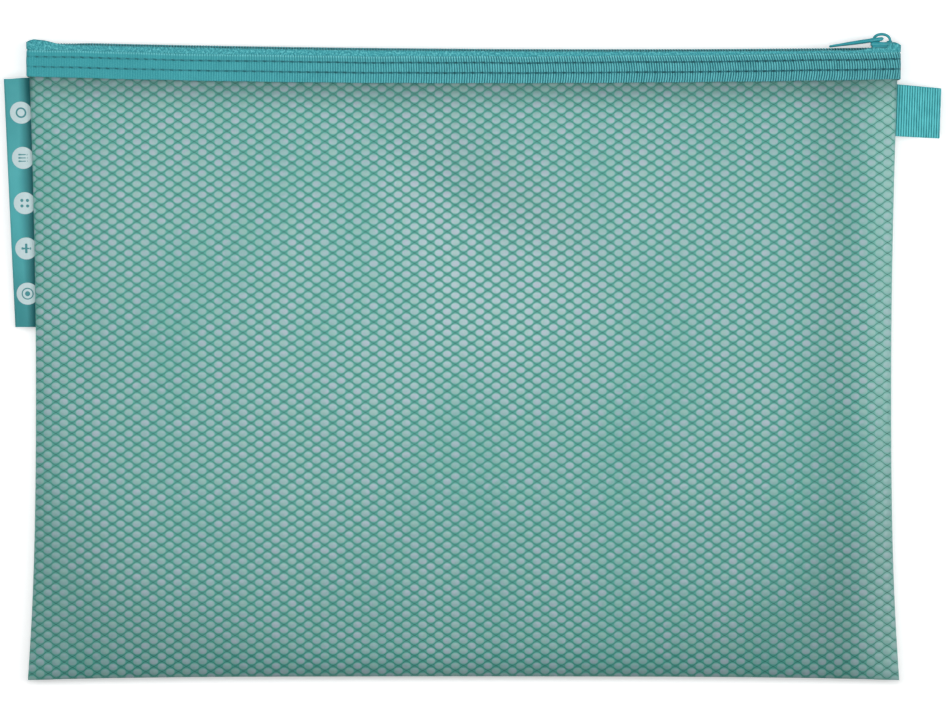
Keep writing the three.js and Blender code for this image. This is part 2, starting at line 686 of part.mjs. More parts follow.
function sideSeamThread(hand) {
  const lowY = BODY_BOTTOM_Y + SEAM_THREAD_INSET;
  const highY = PANEL_TOP_Y - CLEARANCE;
  const path = steps(SEAM_FACETS).map((t) => {
    const y = mix(lowY, highY, t);
    return at(hand * (halfWidth(y) - SEAM_THREAD_INSET), y, seamZ(y));
  });
  return threadSolid(path, SEAM_THREAD_DIAMETER, 6);
}

function bottomSeamThread() {
  const half = halfWidth(BODY_BOTTOM_Y) - SEAM_THREAD_INSET - ALLOWANCE_WIDTH;
  const y = BODY_BOTTOM_Y + SEAM_THREAD_INSET;
  return threadSolid([at(-half, y, SEAM_HEIGHT), at(half, y, SEAM_HEIGHT)], SEAM_THREAD_DIAMETER, 6);
}

// Materials

const film = new THREE.MeshStandardMaterial({ color: 0x8fc4bd, roughness: 0.35, metalness: 0 });
const grosgrain = new THREE.MeshStandardMaterial({ color: 0x46979f, roughness: 0.7, metalness: 0 });
const wovenTape = new THREE.MeshStandardMaterial({ color: 0x4a9fa7, roughness: 0.75, metalness: 0 });
const nylon = new THREE.MeshStandardMaterial({ color: 0x3f98a0, roughness: 0.4, metalness: 0 });
const thread = new THREE.MeshStandardMaterial({ color: 0x2c7d85, roughness: 0.55, metalness: 0 });
const enamel = new THREE.MeshStandardMaterial({ color: 0x3a929b, roughness: 0.35, metalness: 0.1 });
const webbing = new THREE.MeshStandardMaterial({ color: 0x4caab0, roughness: 0.75, metalness: 0 });
const satin = new THREE.MeshStandardMaterial({ color: 0x46969b, roughness: 0.45, metalness: 0 });

const pouch = new THREE.Group();

function add(name, geometry, material, group = pouch) {
  const mesh = new THREE.Mesh(geometry, material);
  mesh.name = name;
  group.add(mesh);
  return mesh;
}

for (const [face, side] of [['front', 1], ['back', -1]]) {
  add(`${face}_panel`, panel(side), film);
  add(`${face}_ribbon`, ribbon(side), grosgrain);
  add(`${face}_upper_topstitch`, topstitch(side, UPPER_STITCH_FROM_EDGE), thread);
  add(`${face}_lower_topstitch`, topstitch(side, LOWER_STITCH_FROM_EDGE), thread);
  add(`${face}_zipper_tape`, tape(side), wovenTape);
  add(`${face}_coil`, alongChain(coil(side)), nylon);
  add(`${face}_coil_core`, alongChain(coilCore(side)), thread);
}

add('left_seam_thread', sideSeamThread(-1), thread);
add('right_seam_thread', sideSeamThread(1), thread);
add('bottom_seam_thread', bottomSeamThread(), thread);
add('webbing_tab', webbingTab(), webbing);
add('label_strip', labelStrip(), satin);
add('slider_body', alongChain(sliderBody()), enamel);

const pull = new THREE.Group();
pull.position.set(BRIDGE_X, PULL_PIVOT_Y, CHAIN_Z);
pull.rotation.z = PULL_TILT;
add('pull_tab', pullTab(), enamel, pull);
pouch.add(pull);

export default pouch;
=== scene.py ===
import math

import bpy
import numpy as np
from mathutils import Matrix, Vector


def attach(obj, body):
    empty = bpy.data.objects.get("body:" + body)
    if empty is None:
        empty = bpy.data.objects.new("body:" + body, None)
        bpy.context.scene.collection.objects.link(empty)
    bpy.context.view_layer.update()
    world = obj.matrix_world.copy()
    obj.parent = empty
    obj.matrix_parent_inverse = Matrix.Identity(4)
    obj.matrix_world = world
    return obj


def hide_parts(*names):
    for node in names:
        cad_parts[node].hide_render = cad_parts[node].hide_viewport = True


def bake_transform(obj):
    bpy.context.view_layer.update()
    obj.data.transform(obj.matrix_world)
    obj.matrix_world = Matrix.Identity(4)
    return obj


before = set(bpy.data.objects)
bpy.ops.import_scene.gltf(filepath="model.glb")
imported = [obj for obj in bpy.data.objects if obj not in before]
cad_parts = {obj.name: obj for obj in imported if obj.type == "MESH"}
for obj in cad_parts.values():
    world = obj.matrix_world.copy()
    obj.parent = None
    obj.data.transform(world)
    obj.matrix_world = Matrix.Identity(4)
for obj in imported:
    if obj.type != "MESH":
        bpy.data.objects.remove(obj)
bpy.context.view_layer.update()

MM = 0.001
UV_PER_MM = 0.01

# Camera, straight above the pouch
PHOTO_WIDTH_MM = 375.25
PHOTO_CENTRE_X = 4.54
CAMERA_HEIGHT = 2600.0
SHARP_PLANE_Z = 8.0

camera_data = bpy.data.cameras.new("camera")
camera_data.sensor_width = 36.0
camera_data.lens = 36.0 * (CAMERA_HEIGHT - SHARP_PLANE_Z) / PHOTO_WIDTH_MM
camera_data.clip_end = 20.0
camera = bpy.data.objects.new("camera", camera_data)
camera.location = (PHOTO_CENTRE_X * MM, 0.0, CAMERA_HEIGHT * MM)
bpy.context.scene.collection.objects.link(camera)
bpy.context.scene.camera = camera
bpy.context.scene.view_settings.view_transform = "Standard"

# Sizes of the pouch in millimetres, the same as those of the solids
BINDING_HALF = 172.5
BOTTOM_Y = -125.0
BOTTOM_CORNER_HALF = 172.4
WAIST_HALF = 169.2
PANEL_TOP_HALF = 171.8
PANEL_TOP_Y = 119.4
CROWN_HEIGHT = 13.5
SEAM_HEIGHT = 3.2
CHAIN_Z = 6.32
MOUTH_OUT = 3.8
RIBBON_LOW_Y = 110.0
RIBBON_WIDTH = 10.5
RIBBON_OUT = 5.4
RIBBON_THICKNESS = 0.5
TAPE_OUT = 4.6
TAPE_END_HALF = 171.7
CHAIN_TOP_Y = 124.4
CHAIN_SLOPE = 2.2 / 345.0
SLIDER_X = 165.3
# Meshes of the net
NET_WIDTH = 6.44
NET_HEIGHT = 4.19
# Stitches along the ribbon: their length, and the rows' places over the ribbon's lower edge
STITCH_LENGTH = 3.6
STITCH_ROWS = (4.0, 8.0)
UPPER_ROW_SHIFT = 0.7
# Slanting fold under the middle of the ribbon: its middle and its direction
FOLD_X, FOLD_Y = 8.0, 70.0
FOLD_COS, FOLD_SIN = 0.796, 0.606
# The film bulges round this height, on the middle line, and the painted shade on the film grows away from
# there
BULGE_Y = 45.0
# Seams lie this far inside the folded edges, and the back rests just over the floor
SEAM_INSET = 4.0
LOWEST_Z = 0.06


def smooth(t):
    t = np.clip(t, 0.0, 1.0)
    return t * t * (3.0 - 2.0 * t)


def quarter_round(t):
    return np.sqrt(1.0 - (1.0 - np.clip(t, 0.0, 1.0)) ** 2)


def bell(d, width):
    return np.exp(-((d / width) ** 2))


def joined(*parts):
    """Arrays as the coordinates of points, stretched to one shape"""
    return np.stack(np.broadcast_arrays(*parts), axis=-1)


def seam_z(y):
    return SEAM_HEIGHT + (CHAIN_Z - SEAM_HEIGHT) * smooth((y + 30.0) / 108.9)


def mouth_share(y):
    return smooth((y - 50.0) / 60.0)


def half_width(y):
    corner = np.where(y > 0, PANEL_TOP_HALF, BOTTOM_CORNER_HALF)
    reach = np.where(y > 0, PANEL_TOP_Y, -BOTTOM_Y)
    power = np.where(y > 0, 1.9, 3.0)
    return WAIST_HALF + (corner - WAIST_HALF) * np.clip(np.abs(y) / reach, 0, 1) ** power


def ribbon_low(x):
    return RIBBON_LOW_Y + np.where(x < 0, 2.7, 1.6) * (x / BINDING_HALF) ** 2


# The zipper climbs to the left, sags in the middle and curls up at its left end
def chain_lift(x):
    return CHAIN_SLOPE * (SLIDER_X - x)


def chain_sag(x):
    return -1.52 * np.sin(math.pi * np.clip((x + 157.0) / 320.0, 0, 1)) ** 0.8


def end_curl(x):
    return 1.8 * smooth((-157.5 - x) / 10.0) + chain_sag(x)


# Meshes

def mesh_object(name, points, faces, material, layers=(), flat=False):
    """points in mm, faces index arrays with three or four columns, layers name: (count, 2) in mm"""
    mesh = bpy.data.meshes.new(name)
    mesh.vertices.add(len(points))
    mesh.vertices.foreach_set("co", (np.asarray(points, float) * MM).astype(np.float32).ravel())
    loops = np.concatenate([f.ravel() for f in faces])
    totals = np.concatenate([np.full(len(f), f.shape[1]) for f in faces])
    starts = np.concatenate([[0], np.cumsum(totals)[:-1]])
    mesh.loops.add(len(loops))
    mesh.loops.foreach_set("vertex_index", loops.astype(np.int32))
    mesh.polygons.add(len(totals))
    mesh.polygons.foreach_set("loop_start", starts.astype(np.int32))
    mesh.polygons.foreach_set("loop_total", totals.astype(np.int32))
    mesh.polygons.foreach_set("use_smooth", np.full(len(totals), not flat))
    for layer in layers:
        uv = mesh.uv_layers.new(name=layer)
        uv.data.foreach_set("uv", (layers[layer][loops] * UV_PER_MM).astype(np.float32).ravel())
    mesh.update(calc_edges=True)
    mesh.validate()
    mesh.materials.append(material)
    obj = bpy.data.objects.new(name, mesh)
    bpy.context.scene.collection.objects.link(obj)
    return obj


def grid_faces(rows, columns, start, closed, flip):
    """Quads of a grid of points, numbered from start; closed joins the last column to the first"""
    i = np.arange(rows - 1)[:, None]
    j = np.arange(columns if closed else columns - 1)[None, :]
    here, there = i * columns + j, i * columns + (j + 1) % columns
    quads = joined(here, there, there + columns, here + columns).reshape(-1, 4)
    return (quads[:, ::-1] if flip else quads) + start


class Pile:
    """Grids of points in mm gathered into one mesh"""

    def __init__(self):
        self.points, self.faces, self.layers, self.count = [], [], {}, 0

    def grid(self, points, layers=(), closed=False, flip=False):
        rows, columns = points.shape[:2]
        self.faces.append(grid_faces(rows, columns, self.count, closed, flip))
        self.points.append(points.reshape(-1, 3))
        for name in layers:
            self.layers.setdefault(name, []).append(layers[name].reshape(-1, 2))
        self.count += rows * columns

    def rim(self, one, other, weave, **how):
        """Strip between the edges of two woven grids"""
        self.grid(np.stack([one, other]), {"weave": np.stack([weave, weave])}, **how)

    def sheet(self, outer, inner, weave, rows=slice(None), closed=False, flip=False):
        """Both faces of a cloth, joined along the first and last row; inner has these rows of outer"""
        self.grid(outer, {"weave": weave}, closed, flip)
        self.grid(inner, {"weave": weave[rows]}, closed, not flip)
        for edge, turned in ((0, not flip), (-1, flip)):
            self.rim(outer[edge], inner[edge], weave[edge], closed=closed, flip=turned)

    def cap(self, ring, flip=False):
        n, start = len(ring), self.count
        self.points.append(np.vstack([ring, ring.mean(axis=0)]))
        i = np.arange(n)
        fan = joined(i, (i + 1) % n, n) + start
        self.faces.append(fan[:, ::-1] if flip else fan)
        self.count += n + 1

    def tube(self, rings, flip=False):
        """Closed body of rings of points, capped at its first and last"""
        self.grid(rings, closed=True, flip=flip)
        self.cap(rings[0], flip=not flip)
        self.cap(rings[-1], flip=flip)

    def make(self, name, material):
        layers = {k: np.vstack(v) for k, v in self.layers.items()}
        return mesh_object(name, np.vstack(self.points), self.faces, material, layers)


def add_tube(pile, path, radius, sides, twist=0.0, flatten=1.0):
    """Closed tube round a path; radius is a number or one per point"""
    along = np.gradient(path, axis=0)
    along /= np.linalg.norm(along, axis=1)[:, None]
    side = np.cross(along, [0.0, 0.0, 1.0])
    length = np.linalg.norm(side, axis=1)[:, None]
    side = np.where(length > 1e-3, side / np.maximum(length, 1e-9), [1.0, 0, 0])
    up = np.cross(side, along)
    angle = np.arange(sides) * 2 * math.pi / sides
    angle = (angle[None, :] + twist * np.arange(len(path))[:, None])[..., None]
    ring = np.cos(angle) * side[:, None] * flatten + np.sin(angle) * up[:, None]
    radius = np.broadcast_to(np.asarray(radius, float), (len(path),))[:, None, None]
    pile.tube(path[:, None] + radius * ring, flip=True)


def piece_name(part, side, hand):
    return f"{'front' if side > 0 else 'back'}_{part}_{'left' if hand < 0 else 'right'}"


# Materials

class Value:
    """Output of a node, which adds and multiplies as a number does"""

    def __init__(self, nodes, socket):
        self.nodes, self.socket = nodes, socket

    def __add__(self, other):
        return self.nodes.math("ADD", self, other)

    def __sub__(self, other):
        return self.nodes.math("SUBTRACT", self, other)

    def __rsub__(self, other):
        return self.nodes.math("SUBTRACT", other, self)

    def __mul__(self, other):
        return self.nodes.math("MULTIPLY", self, other)

    def __truediv__(self, other):
        return self.nodes.math("DIVIDE", self, other)

    def __abs__(self):
        return self.nodes.math("ABSOLUTE", self)


class Tree:
    """Tree of nodes, of a material or of the world"""

    def __init__(self, tree):
        self.tree = tree

    def node(self, kind, inputs, output=0, **settings):
        """One output of a new node whose inputs are set or linked"""
        node = self.tree.nodes.new(kind)
        for key, value in settings.items():
            setattr(node, key, value)
        for key, value in inputs.items():
            self.put(value, node.inputs[key])
        return Value(self, node.outputs[output])

    def put(self, source, target):
        if isinstance(source, Value):
            self.tree.links.new(source.socket, target)
        else:
            target.default_value = source

    def math(self, operation, *values, clamp=False):
        inputs = dict(enumerate(values))
        return self.node("ShaderNodeMath", inputs, operation=operation, use_clamp=clamp)

    def between(self, share, low, high):
        """Goes from low at 0 to high at 1"""
        return self.node("ShaderNodeMapRange", {"Value": share, "To Min": low, "To Max": high})

    def background_rays(self):
        """1 for rays that show the background, 0 for those that light the object"""
        rays = self.node("ShaderNodeLightPath", {}).socket.node.outputs
        rays = [Value(self, rays[f"Is {kind} Ray"]) for kind in ("Camera", "Glossy", "Transmission")]
        return self.math("MAXIMUM", self.math("MAXIMUM", rays[0], rays[1]), rays[2])


class Nodes(Tree):
    """A material's nodes; colours are three sRGB numbers from 0 to 255"""

    def __init__(self, name, colour, roughness, **sockets):
        self.material = bpy.data.materials.new(name)
        self.material.use_nodes = True
        super().__init__(self.material.node_tree)
        self.shader = self.tree.nodes["Principled BSDF"]
        self.shader.inputs["Base Color"].default_value = (*linear(colour), 1.0)
        self.shader.inputs["Roughness"].default_value = roughness
        for socket, value in sockets.items():
            self.shader.inputs[socket.replace("_", " ")].default_value = value

    def step(self, value, low, high):
        """Goes smoothly from 0 at low to 1 at high"""
        inputs = {"Value": value, "From Min": low, "From Max": high}
        return self.node("ShaderNodeMapRange", inputs, interpolation_type="SMOOTHSTEP")

    def mix(self, share, a, b):
        a, b = (c if isinstance(c, Value) else (*linear(c), 1.0) for c in (a, b))
        return self.node("ShaderNodeMix", {0: share, 6: a, 7: b}, output=2, data_type="RGBA")

    def place(self, layer=None):
        """The vector and its x, y and z in mm, of a layer of the mesh or of the object"""
        if layer:
            source, scale = self.node("ShaderNodeUVMap", {}, uv_map=layer), 1 / UV_PER_MM
        else:
            source, scale = self.node("ShaderNodeTexCoord", {}, output="Object"), 1 / MM
        inputs = {0: source, "Scale": scale}
        vector = self.node("ShaderNodeVectorMath", inputs, operation="SCALE")
        parts = self.node("ShaderNodeSeparateXYZ", {0: vector}).socket.node.outputs
        return (vector, *(Value(self, part) for part in parts))

    def noise(self, vector, pitch, detail=2.0, stretch=(1.0, 1.0, 1.0), rough=0.5):
        """Even noise from 0 to 1 whose patches are pitch mm across, longer where stretch is below 1"""
        scale = [s / pitch for s in stretch]
        spread = self.node("ShaderNodeMapping", {"Vector": vector, "Scale": scale})
        inputs = {"Vector": spread, "Scale": 1.0, "Detail": detail, "Roughness": rough}
        return self.node("ShaderNodeTexNoise", inputs)

    def bump(self, height, depth_mm, strength=1.0):
        inputs = {"Distance": depth_mm * MM, "Strength": strength, "Height": height}
        self.put(self.node("ShaderNodeBump", inputs), self.shader.inputs["Normal"])

    def colour(self, source):
        self.put(source, self.shader.inputs["Base Color"])

    def rough(self, source, low, high):
        self.put(self.between(source, low, high), self.shader.inputs["Roughness"])


def linear(colour):
    c = np.asarray(colour, float) / 255.0
    return tuple(np.where(c <= 0.04045, c / 12.92, ((c + 0.055) / 1.055) ** 2.4))


def shade(colour, share, more=0.0):
    return [share * c + more for c in colour]


# Net inside the film: wavy strands in opposite phase that run side by side where they meet
NET_BEND = 0.4
NET_SWING = 0.88
CELL_HALF_WIDTH = 2.0
CELL_HALF_HEIGHT = 1.46


def net_distance(x, y):
    swing = NET_SWING * np.arcsin(NET_BEND * np.cos(x * 2 * math.pi / NET_WIDTH)) / math.asin(NET_BEND)
    p = y / NET_HEIGHT
    one = np.abs((p - swing / 4 + 0.5) % 1.0 - 0.5)
    two = np.abs((p + swing / 4) % 1.0 - 0.5)
    return np.minimum(one, two) * NET_HEIGHT


# Tints that vary the clear film, the colour of a painted highlight on it, and the colour of the paler
# strips by the side seams, which are partly the turned-in allowances and partly a painted highlight
PAINTED_HIGHLIGHT_TINT = (186, 216, 214)
MAUVE_CLOUD, GREEN_CLOUD = (184, 188, 208), (140, 194, 172)
ALLOWANCE_AND_HIGHLIGHT = (176, 226, 216)


def film_material(name, cell, halo, strand, turn, scale, alpha):
    """cell is the clear oval in a mesh of the net, halo the tinted film round it, strand the net"""
    n = Nodes(name, cell, 0.38, Alpha=alpha, Specular_IOR_Level=0.35)
    vector, x, y, _ = n.place("net")
    c, s = math.cos(turn) * scale, math.sin(turn) * scale
    u, v = x * c + y * -s, x * s + y * c
    # The same strands as in net_distance
    wave = n.math("COSINE", u * (2 * math.pi / NET_WIDTH))
    swing = n.math("ARCSINE", wave * NET_BEND) * (NET_SWING / math.asin(NET_BEND) / 4)
    p = v / NET_HEIGHT
    one = n.math("FRACT", p - swing + 0.5) - 0.5
    two = n.math("FRACT", p + swing) - 0.5
    distance = n.math("MINIMUM", abs(one), abs(two)) * NET_HEIGHT

    def from_centre(shift_x, shift_p):
        across = (n.math("FRACT", u / NET_WIDTH + shift_x) - 0.5) * (NET_WIDTH / CELL_HALF_WIDTH)
        upward = (n.math("FRACT", p + shift_p) - 0.5) * (NET_HEIGHT / CELL_HALF_HEIGHT)
        return across * across + upward * upward

    # Clear oval in the middle of every mesh, with the tinted film around it
    oval = n.math("SQRT", n.math("MINIMUM", from_centre(0.5, 0.75), from_centre(0.0, 0.25)))
    _, inside, _, _ = n.place("edge")
    core = (1.0 - n.step(distance, 0.05, 0.2)) * n.step(inside, 0.2, 0.7)
    # Painted shade and painted highlight in soft patches over the clear film
    painted_light_patches = n.noise(vector, 48.0, detail=1.0, stretch=(1.0, 0.5, 1.0))
    clear = n.mix(n.step(painted_light_patches, 0.4, 0.75) * 0.34, cell, halo)
    clear = n.mix(n.step(painted_light_patches, 0.45, 0.25) * 0.3, clear, PAINTED_HIGHLIGHT_TINT)
    clear = n.mix(n.step(n.noise(vector, 1.7, detail=3.0), 0.35, 0.8) * 0.16, clear, halo)
    # Darker away from the middle of the bulge: partly the back's tint, seen where the front lies on it,
    # and partly painted shade
    upward = (y - BULGE_Y) * 1.15
    far = n.math("SQRT", x * x + upward * upward)
    clear = n.mix(n.step(far, 20.0, 105.0) * 0.23, clear, shade(halo, 0.9))
    cloud = n.noise(vector, 5.5, detail=1.0)
    clear = n.mix(n.step(cloud, 0.5, 0.68) * 0.4, clear, MAUVE_CLOUD)
    clear = n.mix(n.step(cloud, 0.5, 0.34) * 0.3, clear, GREEN_CLOUD)
    base = n.mix(n.step(oval, 0.68, 1.0) * 0.94, clear, halo)
    # Paler strips by the side seams: partly the turned-in allowances shining through, and on the right
    # mostly a painted highlight on the rolled edge
    right, left = n.step(x, 153.0, 168.0) * 0.36, n.step(x, -152.0, -168.0) * 0.08
    base = n.mix(n.math("MAXIMUM", right, left), base, ALLOWANCE_AND_HIGHLIGHT)
    net = n.mix(core * 0.95, base, strand)
    # Painted shade along a fold beside the right seam
    fold = n.step(x, 128.0, 148.0) * (1.0 - n.step(x, 149.0, 160.0))
    net = n.mix(fold * 0.15, net, shade(halo, 0.45))
    # Painted shade along the slanting fold, which panel_waves also shapes
    from_x, from_y = x - FOLD_X, y - FOLD_Y
    along = (from_x * FOLD_COS - from_y * FOLD_SIN) / 50.0
    across = (from_x * FOLD_SIN + from_y * FOLD_COS - 3.0) / 17.0
    painted_crease_shade = n.math("POWER", 0.37, along * along + across * across)
    net = n.mix(painted_crease_shade * 0.15, net, shade(halo, 0.45))
    # Painted shade: darker under the ribbon, where the tape's hem also lies behind the film, over the
    # bottom seam, where its allowances also lie behind the film, and at the lower corners
    _, over_seam, below, _ = n.place("hem")
    hem = n.math("POWER", 1.0 - n.step(below, -1.0, 16.0), 1.6) * 0.52
    seam = (1.0 - n.step(over_seam, -2.0, 12.0)) * 0.3
    corners = n.step(far, 175.0, 220.0) * 0.16
    film_painted_shade = n.math("MAXIMUM", n.math("MAXIMUM", hem, seam), corners)
    n.colour(n.mix(film_painted_shade, net, shade(halo, 0.42, 12)))
    dome, cord = 1.0 - n.step(oval, 0.1, 1.35), 1.0 - n.step(distance, 0.05, 0.3)
    n.bump(dome + n.noise(vector, 0.5, detail=3.0) * 0.12 + cord * 0.25, 0.22)
    n.rough(n.noise(vector, 4.0), 0.33, 0.44)
    return n.material


FRONT_FILM = film_material(
    "film_front", (176, 199, 206), (62, 166, 150), (4, 98, 84), 0.0, 1.0, 0.82
)
BACK_FILM = film_material(
    "film_back", (170, 192, 200), (56, 158, 142), (4, 92, 78), 0.011, 1.012, 0.84
)


def rib_profile(phase):
    """0 at a groove and 1 on a rib's crown, phase in turns"""
    return np.abs(np.cos(math.pi * phase)) ** 0.7


def from_stitch_middle(n, u, start):
    """Distance from the middle of a stitch in stitch lengths, 0.5 at its holes"""
    return abs(n.math("FRACT", (u - start) / STITCH_LENGTH) - 0.5)


def ribbed_material(name, rib, groove, light, rows=(), ends=None):
    """Cloth with ribs 1 mm apart: layer 'weave' holds the length along it and the place across it.
    rows are its stitches as (place, start), ends the lengths between which the painted highlight and
    shade of its ribs grow strong."""
    n = Nodes(name, rib, 0.62, Sheen_Weight=0.08, Sheen_Roughness=0.45, Specular_IOR_Level=0.22)
    vector, u, v, _ = n.place("weave")
    wave = abs(n.math("COSINE", u * math.pi))
    yarn = n.noise(vector, 0.22, stretch=(0.35, 1.0, 1.0))
    fibre = n.noise(vector, 0.09, stretch=(1.0, 0.25, 1.0))
    uneven = n.noise(vector, 1.3, detail=1.0, stretch=(1.0, 0.3, 1.0))
    crown = n.step(wave + (uneven - 0.5) * 0.6, 0.2, 1.0)
    contrast = n.step(u, *ends) * 0.88 + 0.12 if ends else 0.95
    # Painted highlight on the ribs' crowns and painted shade in their grooves
    body = n.mix(n.step(crown, 0.6, 1.0) * (contrast * 0.5), rib, light)
    body = n.mix((1.0 - crown) * contrast, body, groove)
    body = n.mix(n.step(yarn, 0.35, 0.8) * 0.25, body, light)
    body = n.mix(n.noise(vector, 9.0) * 0.2, body, groove)
    # Painted shade in each stitch row's groove, deepest at the needle holes
    for row, start in rows:
        sunk = 1.0 - n.step(abs(v - row), 0.12, 0.55)
        hole = n.step(from_stitch_middle(n, u, start), 0.2, 0.42) * 0.6 + 0.3
        body = n.mix(sunk * (hole * (contrast * 0.6 + 0.4)), body, shade(groove, 0.45))
    if rows:
        # Loops of the weft that catch the light along the upper edge
        body = n.mix(n.step(v, 9.5, 10.2) * (crown * 0.6), body, light)
    n.colour(body)
    n.bump(yarn * 0.7 + fibre * 0.5, 0.09, 0.8)
    n.rough(yarn, 0.55, 0.72)
    return n.material


GROSGRAIN = ribbed_material(
    "grosgrain", (44, 152, 160), (4, 84, 93), (126, 210, 216),
    ((STITCH_ROWS[0], 0.0), (STITCH_ROWS[1], UPPER_ROW_SHIFT)), (-150.0, 40.0),
)
WEBBING = ribbed_material("webbing", (78, 194, 200), (10, 112, 120), (122, 222, 227))


def twill_material():
    n = Nodes("zipper_twill", (72, 166, 173), 0.66, Sheen_Weight=0.08, Specular_IOR_Level=0.22)
    vector, u, v, _ = n.place("weave")
    # Herringbone: the twill line turns round every 0.9 mm across the tape
    line = n.math("SINE", (u + n.math("PINGPONG", v, 0.9)) * (2 * math.pi / 0.95))
    yarn = n.math("SINE", v * (2 * math.pi / 0.3))
    woven = n.math("ADD", line * 0.3 + yarn * 0.1, 0.5, clamp=True)
    speck = n.noise(vector, 0.8, detail=3.0)
    body = n.mix(woven, (36, 134, 143), (80, 176, 184))
    body = n.mix(n.step(speck, 0.5, 0.66) * 0.6, body, (118, 206, 212))
    n.colour(n.mix(n.step(speck, 0.5, 0.32) * 0.6, body, (24, 108, 117)))
    n.bump(woven + speck * 0.3, 0.1, 0.9)
    n.rough(speck, 0.6, 0.74)
    return n.material


def thread_material(name, light, dark, start=None):
    """Twisted thread; start is the x of a needle hole where the stitches run along the ribbon"""
    n = Nodes(name, light, 0.5, Specular_IOR_Level=0.3)
    vector, x, y, z = n.place()
    ply = n.math("SINE", (x + (y + z)) * (2 * math.pi / 0.5)) * 0.5 + 0.5
    body = n.mix(ply, dark, light)
    if start is not None:
        # Painted light and shade: paler on the smooth left end of the ribbon, where the stitches sink
        # less, and darker where a stitch goes down into its holes
        body = n.mix(n.step(x, -20.0, -150.0) * 0.7, body, (60, 150, 158))
        down = n.step(from_stitch_middle(n, x, start), 0.24, 0.38)
        body = n.mix(down * 0.7, body, (10, 74, 83))
    n.colour(body)
    n.bump(ply + n.noise(vector, 0.08), 0.05, 0.7)
    n.rough(ply, 0.45, 0.6)
    return n.material


def nylon_material():
    n = Nodes("coil_nylon", (66, 158, 166), 0.34, Specular_IOR_Level=0.4)
    vector = n.place()[0]
    streak = n.noise(vector, 1.6)
    n.colour(n.mix(streak, (62, 154, 163), (96, 190, 197)))
    n.bump(n.noise(vector, 0.12), 0.02, 0.5)
    n.rough(streak, 0.24, 0.4)
    return n.material


def enamel_material():
    coat = {"Coat_Weight": 0.12, "Coat_Roughness": 0.25}
    n = Nodes("slider_enamel", (58, 148, 157), 0.4, Specular_IOR_Level=0.35, **coat)
    vector = n.place()[0]
    scuff = n.noise(vector, 0.9, detail=5.0, stretch=(0.3, 1.0, 1.0), rough=0.7)
    scuff = n.step(scuff, 0.66, 0.78)
    body = n.mix(n.noise(vector, 3.5, detail=3.0), (4, 130, 141), (26, 158, 168))
    n.colour(n.mix(scuff * 0.3, body, (100, 180, 187)))
    n.bump(n.noise(vector, 0.7), 0.02, 0.6)
    n.rough(scuff, 0.34, 0.52)
    return n.material


def satin_material():
    n = Nodes("label_satin", (62, 150, 154), 0.42, Specular_IOR_Level=0.12)
    vector, out, y, _ = n.place("weave")
    yarn = n.noise(vector, 0.12, stretch=(1.0, 0.12, 1.0))
    body = n.mix(n.noise(vector, 13.0), (70, 162, 166), (94, 184, 188))
    body = n.mix(yarn * 0.3, body, (54, 138, 143))
    # Painted shade where the strip bends down to its seam, and towards its ends
    seam_painted_shade = (1.0 - n.step(out, 0.0, 6.6)) * 0.9
    low, high = (1.0 - n.step(y, 8.0, 60.0)) * 0.5, n.step(y, 72.0, 98.0) * 0.2
    dark = n.math("MAXIMUM", seam_painted_shade, n.math("MAXIMUM", low, high))
    n.colour(n.mix(dark, body, (8, 84, 88)))
    n.bump(yarn + n.math("SINE", y * (2 * math.pi / 0.3)) * 0.12, 0.04, 0.6)
    n.rough(yarn, 0.34, 0.5)
    return n.material


def print_material(name, light, dark):
    n = Nodes(name, light, 0.5, Specular_IOR_Level=0.3)
    vector = n.place()[0]
    n.colour(n.mix(n.noise(vector, 0.6, detail=3.0), dark, light))
    n.bump(n.noise(vector, 0.16), 0.02, 0.5)
    n.rough(n.noise(vector, 0.3), 0.42, 0.58)
    return n.material


TWILL = twill_material()
THREAD = thread_material("thread_teal", (36, 114, 123), (16, 80, 90))
LOWER_THREAD = thread_material("thread_lower", (44, 124, 133), (22, 92, 102), 0.0)
UPPER_THREAD = thread_material("thread_upper", (44, 124, 133), (22, 92, 102), UPPER_ROW_SHIFT)
# The cord is coloured darker than the coil, which also paints the shade in the gaps between the turns
CORD = thread_material("coil_cord", (36, 126, 134), (16, 88, 96))
NYLON = nylon_material()
ENAMEL = enamel_material()
SATIN = satin_material()
INK = print_material("print_pale", (196, 214, 216), (180, 203, 206))
INK_DARK = print_material("print_teal", (58, 138, 143), (48, 124, 130))


# Film panels

def panel_out(side, x, y):
    """Height of a panel's outer face over the seam plane"""
    mouth, edge = mouth_share(y), 0.75
    inside = half_width(y) - np.abs(x)
    side_round = (60.0 if side > 0 else 30.0) * (1 - mouth) + 3.0 * mouth
    bottom_round = 75.0 if side > 0 else 30.0
    lying = (CROWN_HEIGHT - seam_z(y)) if side > 0 else seam_z(y) - 0.12
    full = lying * (1 - mouth) + MOUTH_OUT * mouth
    rise = quarter_round(inside / side_round) * quarter_round((y - BOTTOM_Y) / bottom_round)
    return edge + (full - edge) * rise


# Swells and hollows of the film: height, x and y of the middle, reach along x and y
SWELLS = (
    (0.75, 18.0, 38.0, 52.0, 38.0),
    (-0.55, 96.0, 44.0, 26.0, 30.0),
    (-0.4, -88.0, -40.0, 40.0, 30.0),
    (0.9, 86.0, -46.0, 13.0, 24.0),
    (-0.9, 62.0, -46.0, 13.0, 24.0),
)


